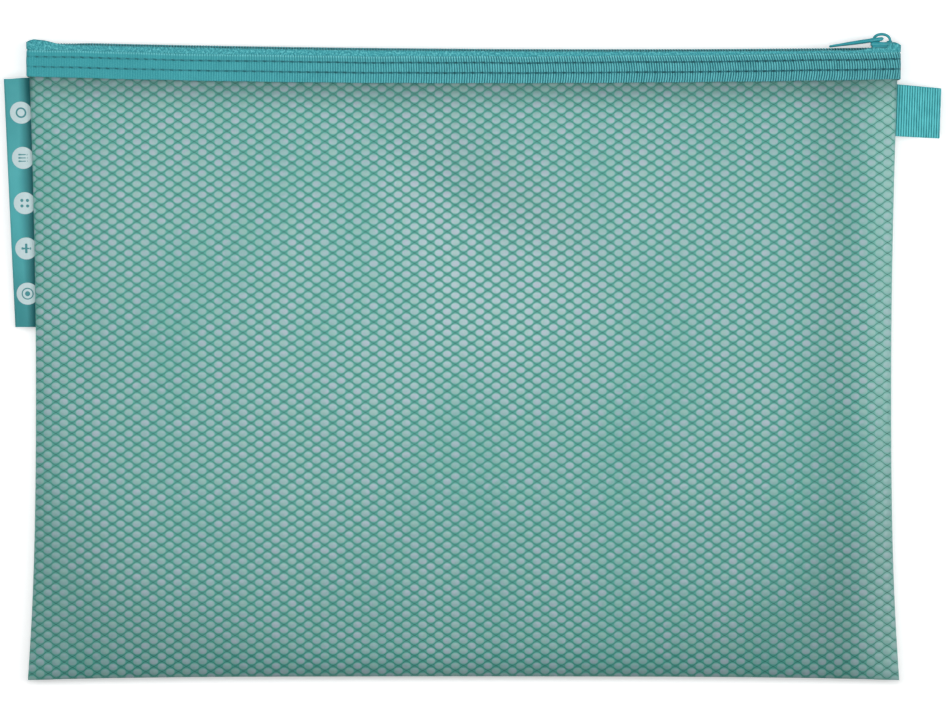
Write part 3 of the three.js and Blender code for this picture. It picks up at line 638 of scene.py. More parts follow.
def panel_waves(side, x, y):
    """Soft swells and puckers of the film, nil at its seams"""
    inside, below = half_width(y) - np.abs(x), ribbon_low(x) - y
    free = smooth(inside / 22.0) * smooth((y - BOTTOM_Y) / 22.0) * smooth(below / 14.0)
    wave = 0.38 * np.sin(x / 31.0 + 0.8 * np.sin(y / 47.0)) * np.sin(y / 27.0 + 1.1 * np.sin(x / 63.0))
    wave += 0.22 * np.sin(x / 13.0 + y / 21.0 + 1.7) * np.sin(y / 17.0 - x / 39.0)
    for height, middle_x, middle_y, reach_x, reach_y in SWELLS:
        wave += height * bell(x - middle_x, reach_x) * bell(y - middle_y, reach_y)
    along = (x - FOLD_X) * FOLD_COS - (y - FOLD_Y) * FOLD_SIN
    across = (x - FOLD_X) * FOLD_SIN + (y - FOLD_Y) * FOLD_COS
    wave += 1.3 * (bell(across + 15.0, 9.0) - bell(across + 2.0, 9.0)) * bell(along, 40.0)
    pucker = 0.16 * np.sin(x / 3.9 + 2.0 * np.sin(x / 29.0)) * bell(below, 17.0)
    pucker *= smooth(below / 3.0) * smooth(inside / 8.0)
    # A trough beside the left seam, a ridge beside the right one
    trough = 0.175 * bell(inside - 15.0, 4.5) - 0.8 * bell(inside - 13.5, 6.5) * smooth(x / 40.0)
    trough *= smooth((y - BOTTOM_Y) / 16.0) * smooth(below / 16.0)
    dip = 0.7 * bell(below, 6.5) * smooth(inside / 12.0)
    swell = 0.8 * bell(x - 58.0, 24.0) * bell(y - 84.0, 24.0) * smooth(below / 6.0)
    return (free * wave + pucker - trough - dip + swell) * (1.0 if side > 0 else 0.12)


# Value of the layer 'hem' on the turned-in bottom, where the painted shade under the ribbon is nil
FAR_FROM_HEM = 200.0


def bottom_share(y):
    """1 at the bottom seam, 0 from 14 mm above it"""
    return smooth((BOTTOM_Y + 14.0 - y) / 14.0)


def corner_sag(x, y):
    return 0.9 * bottom_share(y) * (np.abs(x) / BOTTOM_CORNER_HALF) ** 5


def middle_lift(x, y):
    return 0.6 * bottom_share(y) * (1 - (np.abs(x) / BOTTOM_CORNER_HALF) ** 2)


def panel_half(side, hand):
    """Half of a panel, from the middle line to its folded side seam, with its allowances turned in"""
    # Rows and columns lie closer together beside the seams
    near, border = np.array([5.2, 4.3, 3.4, 2.6, 1.9, 1.3, 0.85, 0.5, 0.25, 0.08, 0.0]), 6.2
    rows = int((PANEL_TOP_Y - BOTTOM_Y - border) / (NET_HEIGHT / 4)) + 1
    columns = int((WAIST_HALF - border) / (NET_WIDTH / 6)) + 1
    ys = np.concatenate([BOTTOM_Y + near[::-1], np.linspace(BOTTOM_Y + border, PANEL_TOP_Y, rows)])
    ys = ys[:, None]
    half = half_width(ys)
    x = np.concatenate([np.linspace(0, 1, columns) * (half - border), half - near], axis=1)
    y = ys + 0 * x
    inside = half - x
    pillow = (0.17 if side > 0 else 0.1) * (smooth(net_distance(hand * x, y) / 1.6) - 0.45)
    pillow *= smooth(inside / 3.0) * smooth((y - BOTTOM_Y) / 3.0)
    z = seam_z(y) + side * (panel_out(side, x, y) + panel_waves(side, hand * x, y) + pillow)
    if side < 0:
        z = np.maximum(z, LOWEST_Z)
    skin = joined(hand * x, y - corner_sag(x, y) + middle_lift(x, y), z)
    # Side allowance: distance from the folded edge, and height over the seam plane
    turned, height = np.array([
        (0.0, 0.55), (0.14, 0.38), (0.5, 0.3), (1.3, 0.27), (3.0, 0.26), (6.5, 0.26), (10.0, 0.26)
    ]).T
    fold_x, fold_y = half - turned, ys + 0 * turned
    flap_y = fold_y - corner_sag(fold_x, fold_y)
    flap = joined(hand * fold_x, flap_y, seam_z(fold_y) + side * height)
    both_y = np.concatenate([y, fold_y], axis=1)
    below = ribbon_low(hand * np.concatenate([x, fold_x], axis=1)) - both_y
    unrolled = np.concatenate([x, half + turned + 0.6], axis=1)
    edge = [np.minimum(inside, y - BOTTOM_Y), np.minimum(turned * 2, 9.0) + 0 * fold_y]
    edge = np.clip(np.concatenate(edge, axis=1), 0, 60)
    pile = Pile()
    pile.grid(np.concatenate([skin, flap], axis=1), {
        "net": joined(hand * unrolled, both_y),
        "edge": joined(edge, 0),
        "hem": joined(both_y - BOTTOM_Y, below),
    }, flip=(side * hand < 0))
    # Bottom allowance, up to where the side's begins
    turned, height = np.array([
        (0.0, 0.75), (0.0, 0.55), (0.14, 0.38), (0.5, 0.3), (1.3, 0.27), (4.0, 0.26), (10.0, 0.26)
    ]).T[..., None]
    x = np.linspace(0, half_width(BOTTOM_Y) - 10.6, 90) + 0 * turned
    y = BOTTOM_Y + turned + 0 * x
    z = SEAM_HEIGHT + side * height
    points = joined(hand * x, y + middle_lift(x, y) - corner_sag(x, BOTTOM_Y), z)
    pile.grid(points, {
        "net": joined(hand * x, 2 * BOTTOM_Y - y - 0.6),
        "edge": joined(y - BOTTOM_Y, 0),
        "hem": joined(y - BOTTOM_Y, FAR_FROM_HEM),
    }, flip=(side * hand > 0))
    return pile.make(piece_name("film", side, hand), FRONT_FILM if side > 0 else BACK_FILM)


# Lips: ribbon, stitches and zipper tape follow the lip and turn down to the seam plane at its ends

# Distance out from the chain's plane at which the turned-down ends stop
LIP_FOOT = 0.15
RIBBON_RADIUS = 1.6
STITCH_END = 171.4


def lip_path(u, half, out, radius):
    """Distance u from the middle as (x, out, normal x, normal out)"""
    run = half - radius
    angle = np.clip((u - run) / radius, 0, math.pi / 2)
    down = np.clip(u - run - radius * math.pi / 2, 0, out - radius - LIP_FOOT)
    x = np.minimum(u, run) + radius * np.sin(angle)
    return x, out - radius + radius * np.cos(angle) - down, np.sin(angle), np.cos(angle)


def lip_length(half, out, radius):
    return half - radius + radius * math.pi / 2 + out - radius - LIP_FOOT


def row_waver(x):
    """How far a row of stitches on the ribbon's upper edge strays from its line"""
    return 0.1 * np.sin(x / 11.0 + 2.0)


def stitch_starts(row):
    first = -math.floor(STITCH_END / STITCH_LENGTH) * STITCH_LENGTH + (UPPER_ROW_SHIFT if row else 0.0)
    return np.arange(first, STITCH_END - 0.8, STITCH_LENGTH)


def ribbon_half(side, hand):
    length = lip_length(BINDING_HALF, RIBBON_OUT, RIBBON_RADIUS)
    u = np.linspace(0, length, int(length * 6) + 1)
    v = np.array([
        0.0, 0.1, 0.3, 0.7, 1.3, 2.0, 2.7, 3.25, 3.55, 3.8, 4.0, 4.2, 4.45, 4.8, 5.4, 6.1, 6.8,
        7.3, 7.55, 7.8, 8.0, 8.2, 8.45, 8.8, 9.3, 9.8, 10.15, 10.4, 10.5,
    ])
    back_rows = [0, 6, 13, 20, 28]
    uu, vv = np.meshgrid(hand * u, v)
    # Ribs lean and stand higher where the stitching drew the ribbon along, more to the right
    pull = smooth((uu + 120.0) / 260.0)
    lean = pull * (0.03 * (vv - 4.0) ** 2 + 0.06 * np.sin(uu / 5.3 + vv))
    height = (0.05 + 0.18 * pull) * (rib_profile(uu + lean) - 0.5)
    for row, place in enumerate(STITCH_ROWS):
        near = (uu - stitch_starts(row)[0] + STITCH_LENGTH / 2) % STITCH_LENGTH - STITCH_LENGTH / 2
        groove = 0.17 * bell(vv - place, 0.42) + 0.26 * bell(vv - place, 0.3) * bell(near, 0.34)
        height = height - groove * (np.abs(uu) < STITCH_END) * (0.45 + 0.55 * pull)
    height = height - 0.16 * (bell(vv, 0.22) + bell(RIBBON_WIDTH - vv, 0.22))
    between = np.clip((vv - STITCH_ROWS[0]) / (STITCH_ROWS[1] - STITCH_ROWS[0]), 0, 1)
    height = height + 0.1 * np.sin(math.pi * between) + 0.06 * np.sin(uu / 7.0)
    x, out, nx, no = lip_path(u, BINDING_HALF, RIBBON_OUT, RIBBON_RADIUS)
    waver = row_waver(uu) + 0.06 * np.sin(uu / 4.3)
    y = ribbon_low(hand * x) + 0.05 * np.sin(uu / 5.0) + 0.03 * np.cos(uu * 2 * math.pi)
    y = y + vv + waver * vv / RIBBON_WIDTH

    def skin(y, h):
        return joined(hand * (x + nx * h), y, CHAIN_Z + side * (out + no * h))

    outer, back = skin(y, height), skin(y[back_rows], -RIBBON_THICKNESS)
    weave = joined(uu + lean, vv)
    pile = Pile()
    flip = side * hand < 0
    pile.sheet(outer, back, weave, back_rows, flip=flip)
    pile.rim(outer[back_rows, -1], back[:, -1], weave[back_rows, -1], flip=flip)
    return pile.make(piece_name("grosgrain", side, hand), GROSGRAIN)


def stitches_half(side, hand, row):
    share = np.array([0.0, 0.07, 0.16, 0.3, 0.5, 0.7, 0.84, 0.93, 1.0])
    height = np.array([-0.34, -0.12, 0.06, 0.13, 0.15, 0.13, 0.06, -0.12, -0.34])
    radius = 0.2 + 0.04 * np.sin(share * math.pi)
    place = STITCH_ROWS[row]
    pile = Pile()
    for start in stitch_starts(row):
        if (start + STITCH_LENGTH / 2 < 0) != (hand < 0):
            continue
        tilt = 0.3 + 0.14 * math.sin(start * 1.7)
        x = np.clip(start + share * STITCH_LENGTH, -STITCH_END, STITCH_END)
        y = ribbon_low(x) + place + tilt * (share - 0.5) + row_waver(x) * place / RIBBON_WIDTH
        z = CHAIN_Z + side * (RIBBON_OUT - 0.06 + height)
        add_tube(pile, joined(x, y, z), radius, 7, twist=0.35)
    name = piece_name("upper_stitches" if row else "lower_stitches", side, hand)
    return pile.make(name, UPPER_THREAD if row else LOWER_THREAD)


def chain_top(x):
    return CHAIN_TOP_Y + chain_lift(x) + end_curl(x)


def welt_top(x):
    """Height of the fold of the tape, which hides the lower half of the coil from the front"""
    base = chain_top(x) - 1.05
    right = np.clip((x - 170.0) / 2.9, -1, 1)
    lobe = 123.55 + 2.85 * np.sqrt(1 - right**2)
    shoulder = base + 0.75 * smooth((x - 156.0) / 5.0)
    left = np.clip((-169.4 - x) / 3.4, 0, 1)
    left_round = base + 0.25 * smooth((-167.0 - x) / 3.0) - 2.4 * (1 - np.sqrt(1 - left**2))
    merged = np.where(x > 160.0, np.maximum(shoulder, lobe - 6.0 * (np.abs(right) > 0.999)), shoulder)
    return np.where(x < -160.0, left_round, merged) - 0.1


def tape_half(side, hand):
    """Tape: its flat edge under the coil, a soft fold over the lip, and the wall down under the ribbon"""
    radius, thickness, mirror = 1.4, 0.38, (1.0, 1.0, side)
    length = lip_length(TAPE_END_HALF, TAPE_OUT, radius)
    u = np.concatenate([np.linspace(0, 156, 313), np.linspace(156.3, length, 120)])
    x, out, nx, no = lip_path(u, TAPE_END_HALF, TAPE_OUT, radius)
    signed = hand * x
    bulge = 0.95 * smooth((u - 167.6) / 3.4)
    top = welt_top(signed + hand * bulge * 0.6) + 0.04 * np.sin(u / 3.1)
    flat = chain_top(signed) - 2.15
    hem = ribbon_low(signed) + 1.6
    # Rows: inward from the wall, share of the way up to the fold's top, and share down the wall
    arc = np.linspace(0, math.pi, 15)
    inward = np.concatenate([np.linspace(3.7, 1.75, 7), 0.62 + 0.62 * np.cos(arc), np.zeros(14)])
    climb = np.concatenate([np.zeros(7), 0.35 + 0.65 * np.sin(arc), np.zeros(14)])
    climb[7] = 0.12
    down = np.concatenate([np.full(22, -1.0), np.linspace(0, 1, 15)[1:]])[:, None]
    # At the ends the folded edge tucks in less, so it stays inside its own corner
    inward = inward[:, None] * (1.0 - 0.72 * smooth((u - 167.5) / 3.5))
    upper = flat + climb[:, None] * (top - flat)
    lower = (flat + 0.35 * (top - flat)) * (1 - down) + hem * down
    y = np.where(down < 0, upper, lower)
    over = smooth((y - ribbon_low(signed) - RIBBON_WIDTH + 0.6) / 1.2)
    px = hand * (x - nx * inward + nx * bulge * over)
    po = np.maximum(out - no * inward + 0.25 * no * over, 0.12)
    outer = joined(px, y, CHAIN_Z + side * po)
    tangent, along = np.gradient(outer, axis=0), np.gradient(outer, axis=1) * hand
    normal = np.cross(tangent * mirror, along * mirror)
    normal /= np.maximum(np.linalg.norm(normal, axis=-1), 1e-9)[..., None]
    inner = outer - thickness * normal * mirror
    inner[..., 2] = CHAIN_Z + side * np.maximum((inner[..., 2] - CHAIN_Z) * side, 0.1)
    steps = np.linalg.norm(np.diff(outer[:, 10], axis=0), axis=1)
    weave = joined(hand * u, np.concatenate([[0], np.cumsum(steps)])[:, None])
    pile = Pile()
    flip = side * hand > 0
    pile.sheet(outer, inner, weave, flip=flip)
    pile.rim(outer[:, -1], inner[:, -1], weave[:, -1], flip=flip)
    return pile.make(piece_name("tape", side, hand), TWILL)


# Coils: one monofilament wound along each tape, the turns of the two tapes half a pitch apart

COIL_PITCH = 1.1
COIL_HALF_LENGTH = 170.4
WEDGE_X = 2.0
SLIDER_TRAVEL = 320.0


def coil_height(x):
    end = 0.9 * smooth((np.abs(x) - 168.0) / 2.4) + 0.45 * smooth((-146.0 - x) / 12.0)
    return CHAIN_TOP_Y - 0.9 + chain_lift(x) + chain_sag(x) - end


def wedge_room(x):
    """Where the turns part round the slider's wedge, 1 at its closed and its open place"""
    room = 0.0
    for middle in (SLIDER_X + WEDGE_X, SLIDER_X + WEDGE_X - SLIDER_TRAVEL):
        room = room + smooth((x - middle + 2.6) / 1.2) * (1 - smooth((x - middle - 1.4) / 1.2))
    return room


def coil_half(side, hand):
    turns = COIL_HALF_LENGTH / COIL_PITCH
    t = np.linspace(0, turns, int(turns * 14) + 1)
    phase = 2 * math.pi * t + (0.0 if side > 0 else math.pi)
    x = hand * COIL_PITCH * t
    across, climb = np.cos(phase), np.sin(phase)
    # Round at the sewn side, pinched to a head at the meeting line
    z = 1.0 + 1.12 * across + 0.1 * np.cos(2 * phase) + 0.32 * wedge_room(x) * (1 - across)
    y = coil_height(x) + 0.6 * climb * (1 + 0.22 * across)
    radius = 0.25 + 0.05 * smooth((-across - 0.55) / 0.4)
    pile = Pile()
    add_tube(pile, joined(x + hand * 0.16 * climb, y, CHAIN_Z + side * z), radius, 7)
    return pile.make(piece_name("coil", side, hand), NYLON)


def core_half(side, hand):
    """Cord inside the coil, and the thread that holds the coil down on its tape"""
    pile = Pile()
    x = hand * np.linspace(0, COIL_HALF_LENGTH - 0.4, 420)
    path = joined(x, coil_height(x), CHAIN_Z + side * 1.25)
    add_tube(pile, path, 0.3, 6, twist=0.5, flatten=1.25)
    x = hand * np.arange(0.25, COIL_HALF_LENGTH - 0.5, COIL_PITCH / 4)
    step = np.arange(len(x))
    y = coil_height(x) + np.where(step % 4 < 2, 0.72, -0.85)
    z = CHAIN_Z + side * (1.55 + 0.22 * np.cos(step * math.pi / 2))
    add_tube(pile, joined(x, y, z), 0.1, 4)
    return pile.make(piece_name("coil_cord", side, hand), CORD)


# Slider and pull

PLATE_TOP_Y = 126.35
BRIDGE_HALF, BRIDGE_RISE = 3.35, 3.2
# Middle of the pull's bar, and how far the pull slants down to the left
BAR_X, BAR_Y = 165.3, 127.7
PULL_TILT = math.radians(8.2)


def rounded_outline(corners, radii, per_corner=6):
    """Polygon with rounded corners"""
    corners = np.asarray(corners, float)
    before, after = np.roll(corners, 1, axis=0), np.roll(corners, -1, axis=0)
    t = np.linspace(0, 1, per_corner)[:, None]
    ring = []
    for p, a, b, reach in zip(corners, before - corners, after - corners, radii):
        a, b = p + reach * a / np.linalg.norm(a), p + reach * b / np.linalg.norm(b)
        ring.append((1 - t) ** 2 * a + 2 * t * (1 - t) * p + t**2 * b)
    return np.concatenate(ring)


def box_outline(low, high, bottom, top, radius, per_corner=4):
    corners = [(low, bottom), (high, bottom), (high, top), (low, top)]
    return rounded_outline(corners, [radius] * 4, per_corner)


def squared(c, power):
    """Cosine or sine of a round section, drawn towards a square one"""
    return np.sign(c) * np.abs(c) ** power


def by_chain(x, y, z):
    """Point given from the slider's middle, leaning with the chain"""
    return joined(SLIDER_X + x, y - CHAIN_SLOPE * x, CHAIN_Z + z)


def rounded_slab(pile, ring, low, high, bevel):
    """Part of the slider between two heights over an outline of (x, z), its edges rounded"""
    centre = ring.mean(axis=0)
    reach = np.abs(ring - centre).max(axis=0)
    turn = np.linspace(0, math.pi / 2, 5)
    inset, step = bevel * (1 - np.sin(turn)), bevel * (1 - np.cos(turn))
    inset = np.concatenate([inset, inset[::-1]])[:, None, None]
    height = np.concatenate([low + step, (high - step)[::-1]])[:, None]
    shrunk = centre + (ring - centre) * (1 - inset / reach)
    pile.tube(by_chain(shrunk[..., 0], height, shrunk[..., 1]))


def slider_body():
    pile = Pile()
    half_plate = [(0.2, 3.2), (3.4, 3.45), (4.4, 1.6)]
    plate = rounded_outline(
        [(-4.4, -3.2), *((x, -z) for x, z in half_plate), *half_plate[::-1], (-4.4, 3.2)],
        [1.1, 0.8, 0.8, 0.8, 0.8, 0.8, 0.8, 1.1],
    )
    rounded_slab(pile, plate, 124.75, PLATE_TOP_Y, 0.5)
    rounded_slab(pile, plate * 0.985, 120.4, 121.45, 0.35)
    for hand in (-1, 1):
        wall = box_outline(-3.9, 2.3, 2.66, 3.25, 0.25) * (1, hand)
        rounded_slab(pile, wall[::hand], 122.66, 125.0, 0.12)
    rounded_slab(pile, box_outline(0.8, 3.2, -0.2, 0.2, 0.12, 3), 121.2, 125.0, 0.05)
    # Feet that the bridge grows from
    rounded_slab(pile, box_outline(-4.05, -0.78, -1.22, 1.22, 0.5), 126.2, 127.05, 0.34)
    rounded_slab(pile, box_outline(1.9, 4.2, -1.22, 1.22, 0.5), 126.2, 126.95, 0.34)
    # Bridge: a round bar that leaves the plate, arches over and comes back to it
    t = np.linspace(0, math.pi, 41)
    arch = PLATE_TOP_Y + BRIDGE_RISE * np.maximum(np.sin(t), 0) ** 0.72
    path_x = BRIDGE_HALF * np.concatenate([[-1], -np.cos(t), [1]])[:, None]
    path_y = np.concatenate([[125.7], arch, [125.7]])[:, None]
    along_x, along_y = np.gradient(path_x, axis=0), np.gradient(path_y, axis=0)
    length = np.hypot(along_x, along_y)
    angle = np.arange(16) * 2 * math.pi / 16
    thick = 0.56 * squared(np.cos(angle), 0.8)
    wide = 0.98 * squared(np.sin(angle), 0.8)
    x = path_x - along_y / length * thick
    pile.grid(by_chain(x, path_y + along_x / length * thick, wide), closed=True)
    return pile.make("slider_cast_body", ENAMEL)


def by_bar(s, y, z):
    """Point at a distance s from the pull's bar along its blade, y over its middle and z to its side"""
    return joined(
        BAR_X - s * math.cos(PULL_TILT) - y * math.sin(PULL_TILT),
        BAR_Y - s * math.sin(PULL_TILT) + y * math.cos(PULL_TILT),
        CHAIN_Z + z,
    )


def pull_thickness(s):
    """Half the pull's thickness"""
    return (1.3 + 0.35 * smooth(s / 6.0)) * (1 - 0.42 * smooth((s - 7.0) / 14.0)) / 2


def pull_tab():
    pile = Pile()
    angle = np.arange(20) * 2 * math.pi / 20
    ca, sa = np.cos(angle), np.sin(angle)
    # Blade
    tip = 18.6 + 2.4 * np.sin(np.linspace(0.15, 1, 9) * math.pi / 2)
    s = np.concatenate([np.linspace(4.1, 4.7, 4), np.linspace(5.2, 18.6, 22), tip])[:, None]
    half = 2.4 + 0.6 * smooth((s - 4.4) / 8.0)
    half = half * np.sqrt(np.clip(1 - np.clip((s - 18.6) / 2.4, 0, 1) ** 2, 0.03, 1))
    thick = pull_thickness(s) * np.where(s > 20.6, 0.7, 1.0) * np.where(s < 4.5, 0.75, 1.0)
    pile.tube(by_bar(s, thick * squared(ca, 0.6), half * squared(sa, 0.45)), flip=True)
    # Two arms and the bar between them
    for hand in (-1, 1):
        s = np.linspace(-0.62, 4.5, 18)[:, None]
        thick = 1.06 * pull_thickness(np.maximum(s, 0))
        thick = thick * np.sqrt(np.clip(1 - np.clip((0.1 - s) / 0.75, 0, 1) ** 2, 0.05, 1))
        pile.tube(by_bar(s, thick * squared(ca, 0.7), hand * 1.92 + 0.48 * squared(sa, 0.6)), flip=True)
        # Boss on the outside of each arm, where the bar is headed over
        z, r = np.array([(2.3, 0.5), (2.46, 0.47), (2.52, 0.34), (2.53, 0.05)]).T[..., None]
        pile.grid(by_bar(r * ca, r * sa, hand * z), closed=True, flip=hand < 0)
    z = np.linspace(-1.9, 1.9, 9)[:, None]
    pile.grid(by_bar(0.52 * ca, 0.52 * sa, z), closed=True)
    return pile.make("pull_blade", ENAMEL)


# Strips folded into the side seams

def stadium(p, half, reach):
    """Point and normal at a distance p round a loop with round ends at 0 and reach - half"""
    straight, arc = reach - half, math.pi * half
    far = np.clip((p - straight) / half, 0, math.pi)
    near = np.clip((p - 2 * straight - arc) / half, 0, math.pi)
    angle = math.pi / 2 - far - near
    centre = np.clip(p, 0, straight) - np.clip(p - straight - arc, 0, straight)
    return centre + half * np.cos(angle), half * np.sin(angle), np.cos(angle), np.sin(angle)


def webbing_tab():
    """Loop whose two layers are pinched together where they go into the side seam"""
    half, reach, tuck, width = 1.2, 17.5, 1.4, 20.3
    total = 2 * (reach + tuck - half) + 2 * math.pi * half
    count = 8 * round(total)
    p = np.arange(count) * total / count
    v = np.array([0.0, 0.12, 0.35, *np.linspace(0.8, width - 0.8, 19), width - 0.35, width - 0.12, width])
    v = v[:, None]
    out, up, nout, nup = stadium(p, half, reach + tuck)
    out = out - tuck
    turns = p * round(total) / total
    ribs = rib_profile(turns)
    pinch = 0.2 + 0.8 * smooth((out + 0.4) / 4.0)
    height = (0.2 * (ribs - 0.6) + 0.05 * np.sin(v * 1.3 + 3.0 * np.sin(p))) * pinch**2
    height = height - 0.3 * (bell(v, 0.22) + bell(width - v, 0.22)) * pinch
    gap = 0.3 * np.sin(math.pi * np.clip(out / 15.0, 0, 1))
    # The far end hangs a little lower than the seam end
    share = np.clip(out / reach, 0, 1)
    y_top = 109.7 - 1.6 * share + 0.09 * ribs
    y_low = 89.3 - 0.9 * share - 0.09 * ribs
    y = y_low + (y_top - y_low) * v / width
    z = seam_z(y) + up * pinch + nup * height - np.sign(up) * gap * 0.5
    points = joined(half_width(y) + out + nout * height, y, z)
    # Inner face, of three rows
    rows = [0, 12, -1]
    y = y[rows]
    z = seam_z(y) + np.where(np.abs(up) > 0.7, np.sign(up) * 0.35, up * 0.3) * pinch
    inner = joined(half_width(y) + np.minimum(out, reach - 1.0), y, z)
    weave = joined(turns, v)
    pile = Pile()
    pile.sheet(points, inner, weave, rows, closed=True)
    return pile.make("webbing_loop", WEBBING)


LABEL_TOP_Y = 112.4
LABEL_LENGTH = 98.6
LABEL_TUCK = 2.4
# Half thickness of the folded label, and the share of it that is left between the films
LABEL_BODY = 0.86
LABEL_PINCH = 0.19 / LABEL_BODY


def label_share(y):
    return np.clip((LABEL_TOP_Y - y) / LABEL_LENGTH, 0, 1)


def label_reach(y):
    return 181.75 - 4.45 * label_share(y) - half_width(y)


def label_surface(out, y, layer):
    """Height over the seam plane of the upper or lower layer, at a distance out from the film's edge"""
    across = np.clip(out / label_reach(y), 0, 1)
    swell = 0.42 * np.sin(math.pi * across) ** 1.2 + 0.16 * np.sin(y / 9.0 + out * 0.2) * across
    body = LABEL_BODY + (swell if layer > 0 else -0.25 * swell)
    fold = np.sqrt(np.clip(1 - np.clip((across - 0.9) / 0.1, 0, 1) ** 2, 0, 1))
    pinch = LABEL_PINCH + (1 - LABEL_PINCH) * smooth((out + 0.1) / 2.6)
    return layer * body * fold * pinch


def label_point(out, y, layer, lift=0.0):
    z = seam_z(y) + label_surface(out, y, layer) + layer * lift
    return joined(-(half_width(y) + out), y, z)


def label_strip():
    y = np.linspace(LABEL_TOP_Y - LABEL_LENGTH, LABEL_TOP_Y, 120)[:, None]
    reach, share = label_reach(y), label_share(y)
    near = np.array([-LABEL_TUCK, -1.6, -0.8, -0.2, 0.2, 0.6, 1.1, 1.7, 2.4]) + 0 * y
    far = 2.4 + (0.9 * reach - 2.4) * np.linspace(0, 1, 14)[1:]
    fold = (0.9 + 0.1 * np.sin(np.linspace(0, 1, 8)[1:] * math.pi / 2)) * reach
    out = np.concatenate([near, far, fold], axis=1)
    # The free corners are drawn in a little
    drawn = y + 0.54 * smooth(out / 9.0) * (share * 2 - 1) * (1 - share)
    upper, lower = label_point(out, drawn, 1), label_point(out, drawn, -1)
    loop = np.concatenate([upper, lower[:, -2::-1]], axis=1)
    path = np.concatenate([out, (2 * reach - out)[:, -2::-1]], axis=1)
    weave = joined(path, y)
    inset, middle = loop.copy(), seam_z(y)
    inset[..., 2] = middle + (loop[..., 2] - middle) * 0.6
    inset[..., 0] = np.maximum(loop[..., 0], -(half_width(y) + reach - 0.25))
    pile = Pile()
    pile.sheet(loop, inset, weave)
    for edge in (0, -1):
        pile.rim(loop[:, edge], inset[:, edge], weave[:, edge], flip=edge != 0)
    return pile.make("label_fold", SATIN)


def print_patch(pile, out, y, rings, lift):
    """Flat print laid on the label; rings are loops of (out, y) round its middle, the smallest first"""
    out = np.maximum(out + rings[..., 0], -LABEL_TUCK + 0.1)
    pile.grid(label_point(out, y + rings[..., 1], 1, lift), closed=True)


def disc_rings(low, high, count=40, steps=3):
    angle = np.arange(count) * 2 * math.pi / count
    ring = joined(np.cos(angle), np.sin(angle))
    return np.linspace(low, high, steps)[:, None, None] * ring


def bar_rings(width, height, y=0.0):
    outline = box_outline(-width / 2, width / 2, -height / 2, height / 2, min(width, height) * 0.3)
    return np.array([0.02, 0.5, 1.0])[:, None, None] * outline + (0, y)


def label_print():
    """Five pale discs, each with its own plain mark"""
    pale, dark = Pile(), Pile()
    marks = (
        [disc_rings(1.45, 2.1)],
        [bar_rings(3.6, 0.62, y) for y in (-1.3, 0, 1.3)],
        [disc_rings(0.02, 0.62, 20) + (a, b) for a in (-1.1, 1.1) for b in (-1.1, 1.1)],
        [bar_rings(3.8, 0.95), bar_rings(0.95, 3.8)],
        [disc_rings(0.02, 1.0, 24), disc_rings(1.9, 2.35)],
    )
    for y, mark in zip(np.linspace(98.5, 27.0, 5), marks):
        out = 4.0 - 1.2 * label_share(y)
        print_patch(pale, out, y, disc_rings(0.02, 4.35, 56, 14), 0.05)
        for k, rings in enumerate(mark):
            print_patch(dark, out, y, rings, 0.075 + 0.004 * k)
    return pale.make("label_discs", INK), dark.make("label_marks", INK_DARK)


# Stitching of the seams, through both allowances

def seam_stitches(name, path_x, path_y, pitch=3.2):
    length = np.concatenate([[0], np.cumsum(np.hypot(np.diff(path_x), np.diff(path_y)))])
    s = np.arange(0, length[-1], pitch / 8)
    x, y = np.interp(s, length, path_x), np.interp(s, length, path_y)
    z = seam_z(y) + 0.42 * np.clip(1.9 * np.sin(2 * math.pi * s / pitch), -1, 1)
    pile = Pile()
    add_tube(pile, joined(x, y, z), 0.16, 6)
    return pile.make(name, THREAD)


# Every piece, the node it stands for, and the body it rides on


def dress(obj, node, side):
    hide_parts(node)
    if side > 0:
        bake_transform(obj)
    else:
        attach(obj, "pouch")


for side, face in ((1, "front"), (-1, "back")):
    for hand in (-1, 1):
        dress(panel_half(side, hand), f"{face}_panel", side)
        dress(ribbon_half(side, hand), f"{face}_ribbon", side)
        dress(stitches_half(side, hand, 0), f"{face}_lower_topstitch", side)
        dress(stitches_half(side, hand, 1), f"{face}_upper_topstitch", side)
        dress(tape_half(side, hand), f"{face}_zipper_tape", side)
        dress(coil_half(side, hand), f"{face}_coil", side)
        dress(core_half(side, hand), f"{face}_coil_core", side)

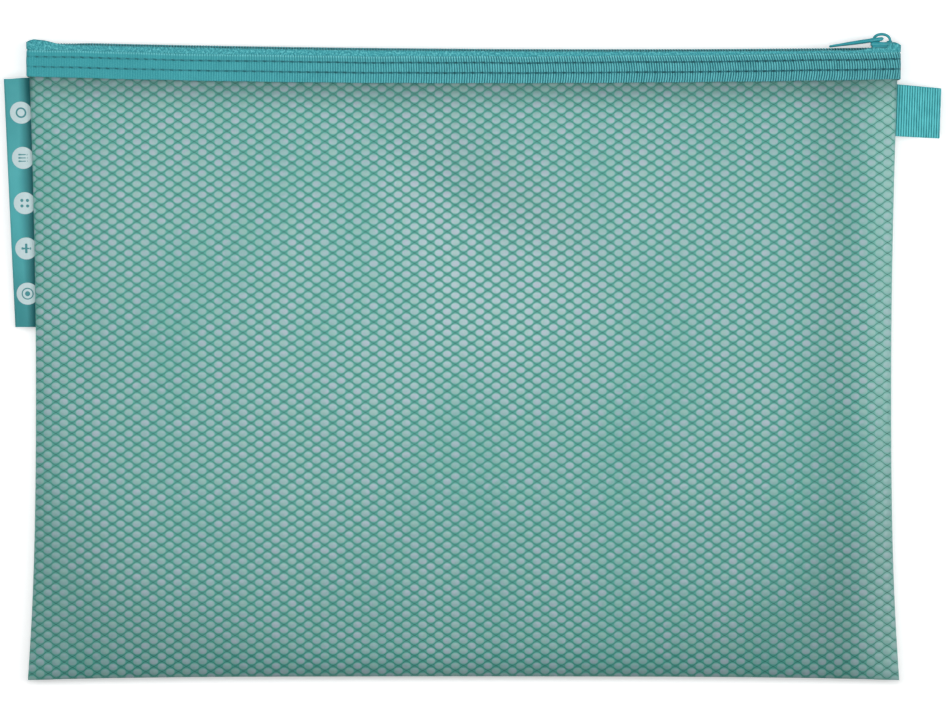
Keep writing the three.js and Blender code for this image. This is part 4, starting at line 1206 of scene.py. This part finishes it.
seam_y = np.linspace(BOTTOM_Y + SEAM_INSET, PANEL_TOP_Y - 1.0, 60)
for hand, end in ((-1, "left"), (1, "right")):
    seam = seam_stitches(f"{end}_seam_stitches", hand * (half_width(seam_y) - SEAM_INSET), seam_y)
    dress(seam, f"{end}_seam_thread", -1)
seam_x = np.linspace(-158.0, 158.0, 60)
seam_y = BOTTOM_Y + SEAM_INSET + 0.4 * (1 - (seam_x / 172.0) ** 2)
dress(seam_stitches("bottom_seam_stitches", seam_x, seam_y), "bottom_seam_thread", -1)

slider = slider_body()
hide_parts("slider_body")
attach(slider, "slider")

pull = pull_tab()
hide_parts("pull_tab")
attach(pull, "pull")

tab = webbing_tab()
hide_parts("webbing_tab")
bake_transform(tab)

label = label_strip()
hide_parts("label_strip")
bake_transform(label)
for patch in label_print():
    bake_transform(patch)


# Floor, world and lights

def floor_material():
    n = Nodes("floor_white", (255, 255, 255), 0.9, Specular_IOR_Level=0.0, Emission_Color=(1, 1, 1, 1))
    n.colour((0.86, 0.865, 0.87, 1.0))
    n.put(n.background_rays() * 0.42, n.shader.inputs["Emission Strength"])
    return n.material


FLOOR_HALF = 8000.0
floor_points = FLOOR_HALF * np.array([[-1, -1, 0], [1, -1, 0], [1, 1, 0], [-1, 1, 0]])
floor = mesh_object("floor", floor_points, [np.array([[0, 1, 2, 3]])], floor_material(), flat=True)

world = bpy.data.worlds.new("studio")
bpy.context.scene.world = world
world.use_nodes = True
sky = Tree(world.node_tree)
background = sky.tree.nodes["Background"].inputs
background["Color"].default_value = (1.0, 1.0, 1.0, 1.0)
sky.put(sky.between(sky.background_rays(), 0.245, 1.0), background["Strength"])


def softbox(name, place, aim, size, power):
    data = bpy.data.lights.new(name, "AREA")
    data.shape = "RECTANGLE"
    data.size, data.size_y = size
    data.energy = power
    lamp = bpy.data.objects.new(name, data)
    lamp.location = place
    lamp.rotation_euler = (Vector(aim) - Vector(place)).to_track_quat("-Z", "Y").to_euler()
    lamp.visible_camera = False
    bpy.context.scene.collection.objects.link(lamp)


softbox("key_softbox", (0.0, 0.06, 0.34), (0.0, 0.06, 0.0), (0.54, 0.2), 0.88)
softbox("right_softbox", (1.5, 0.05, 0.95), (0.1, 0.0, 0.0), (0.6, 1.0), 10.0)
softbox("left_softbox", (-1.1, 0.3, 0.9), (-0.05, 0.0, 0.0), (0.8, 0.8), 4.6)
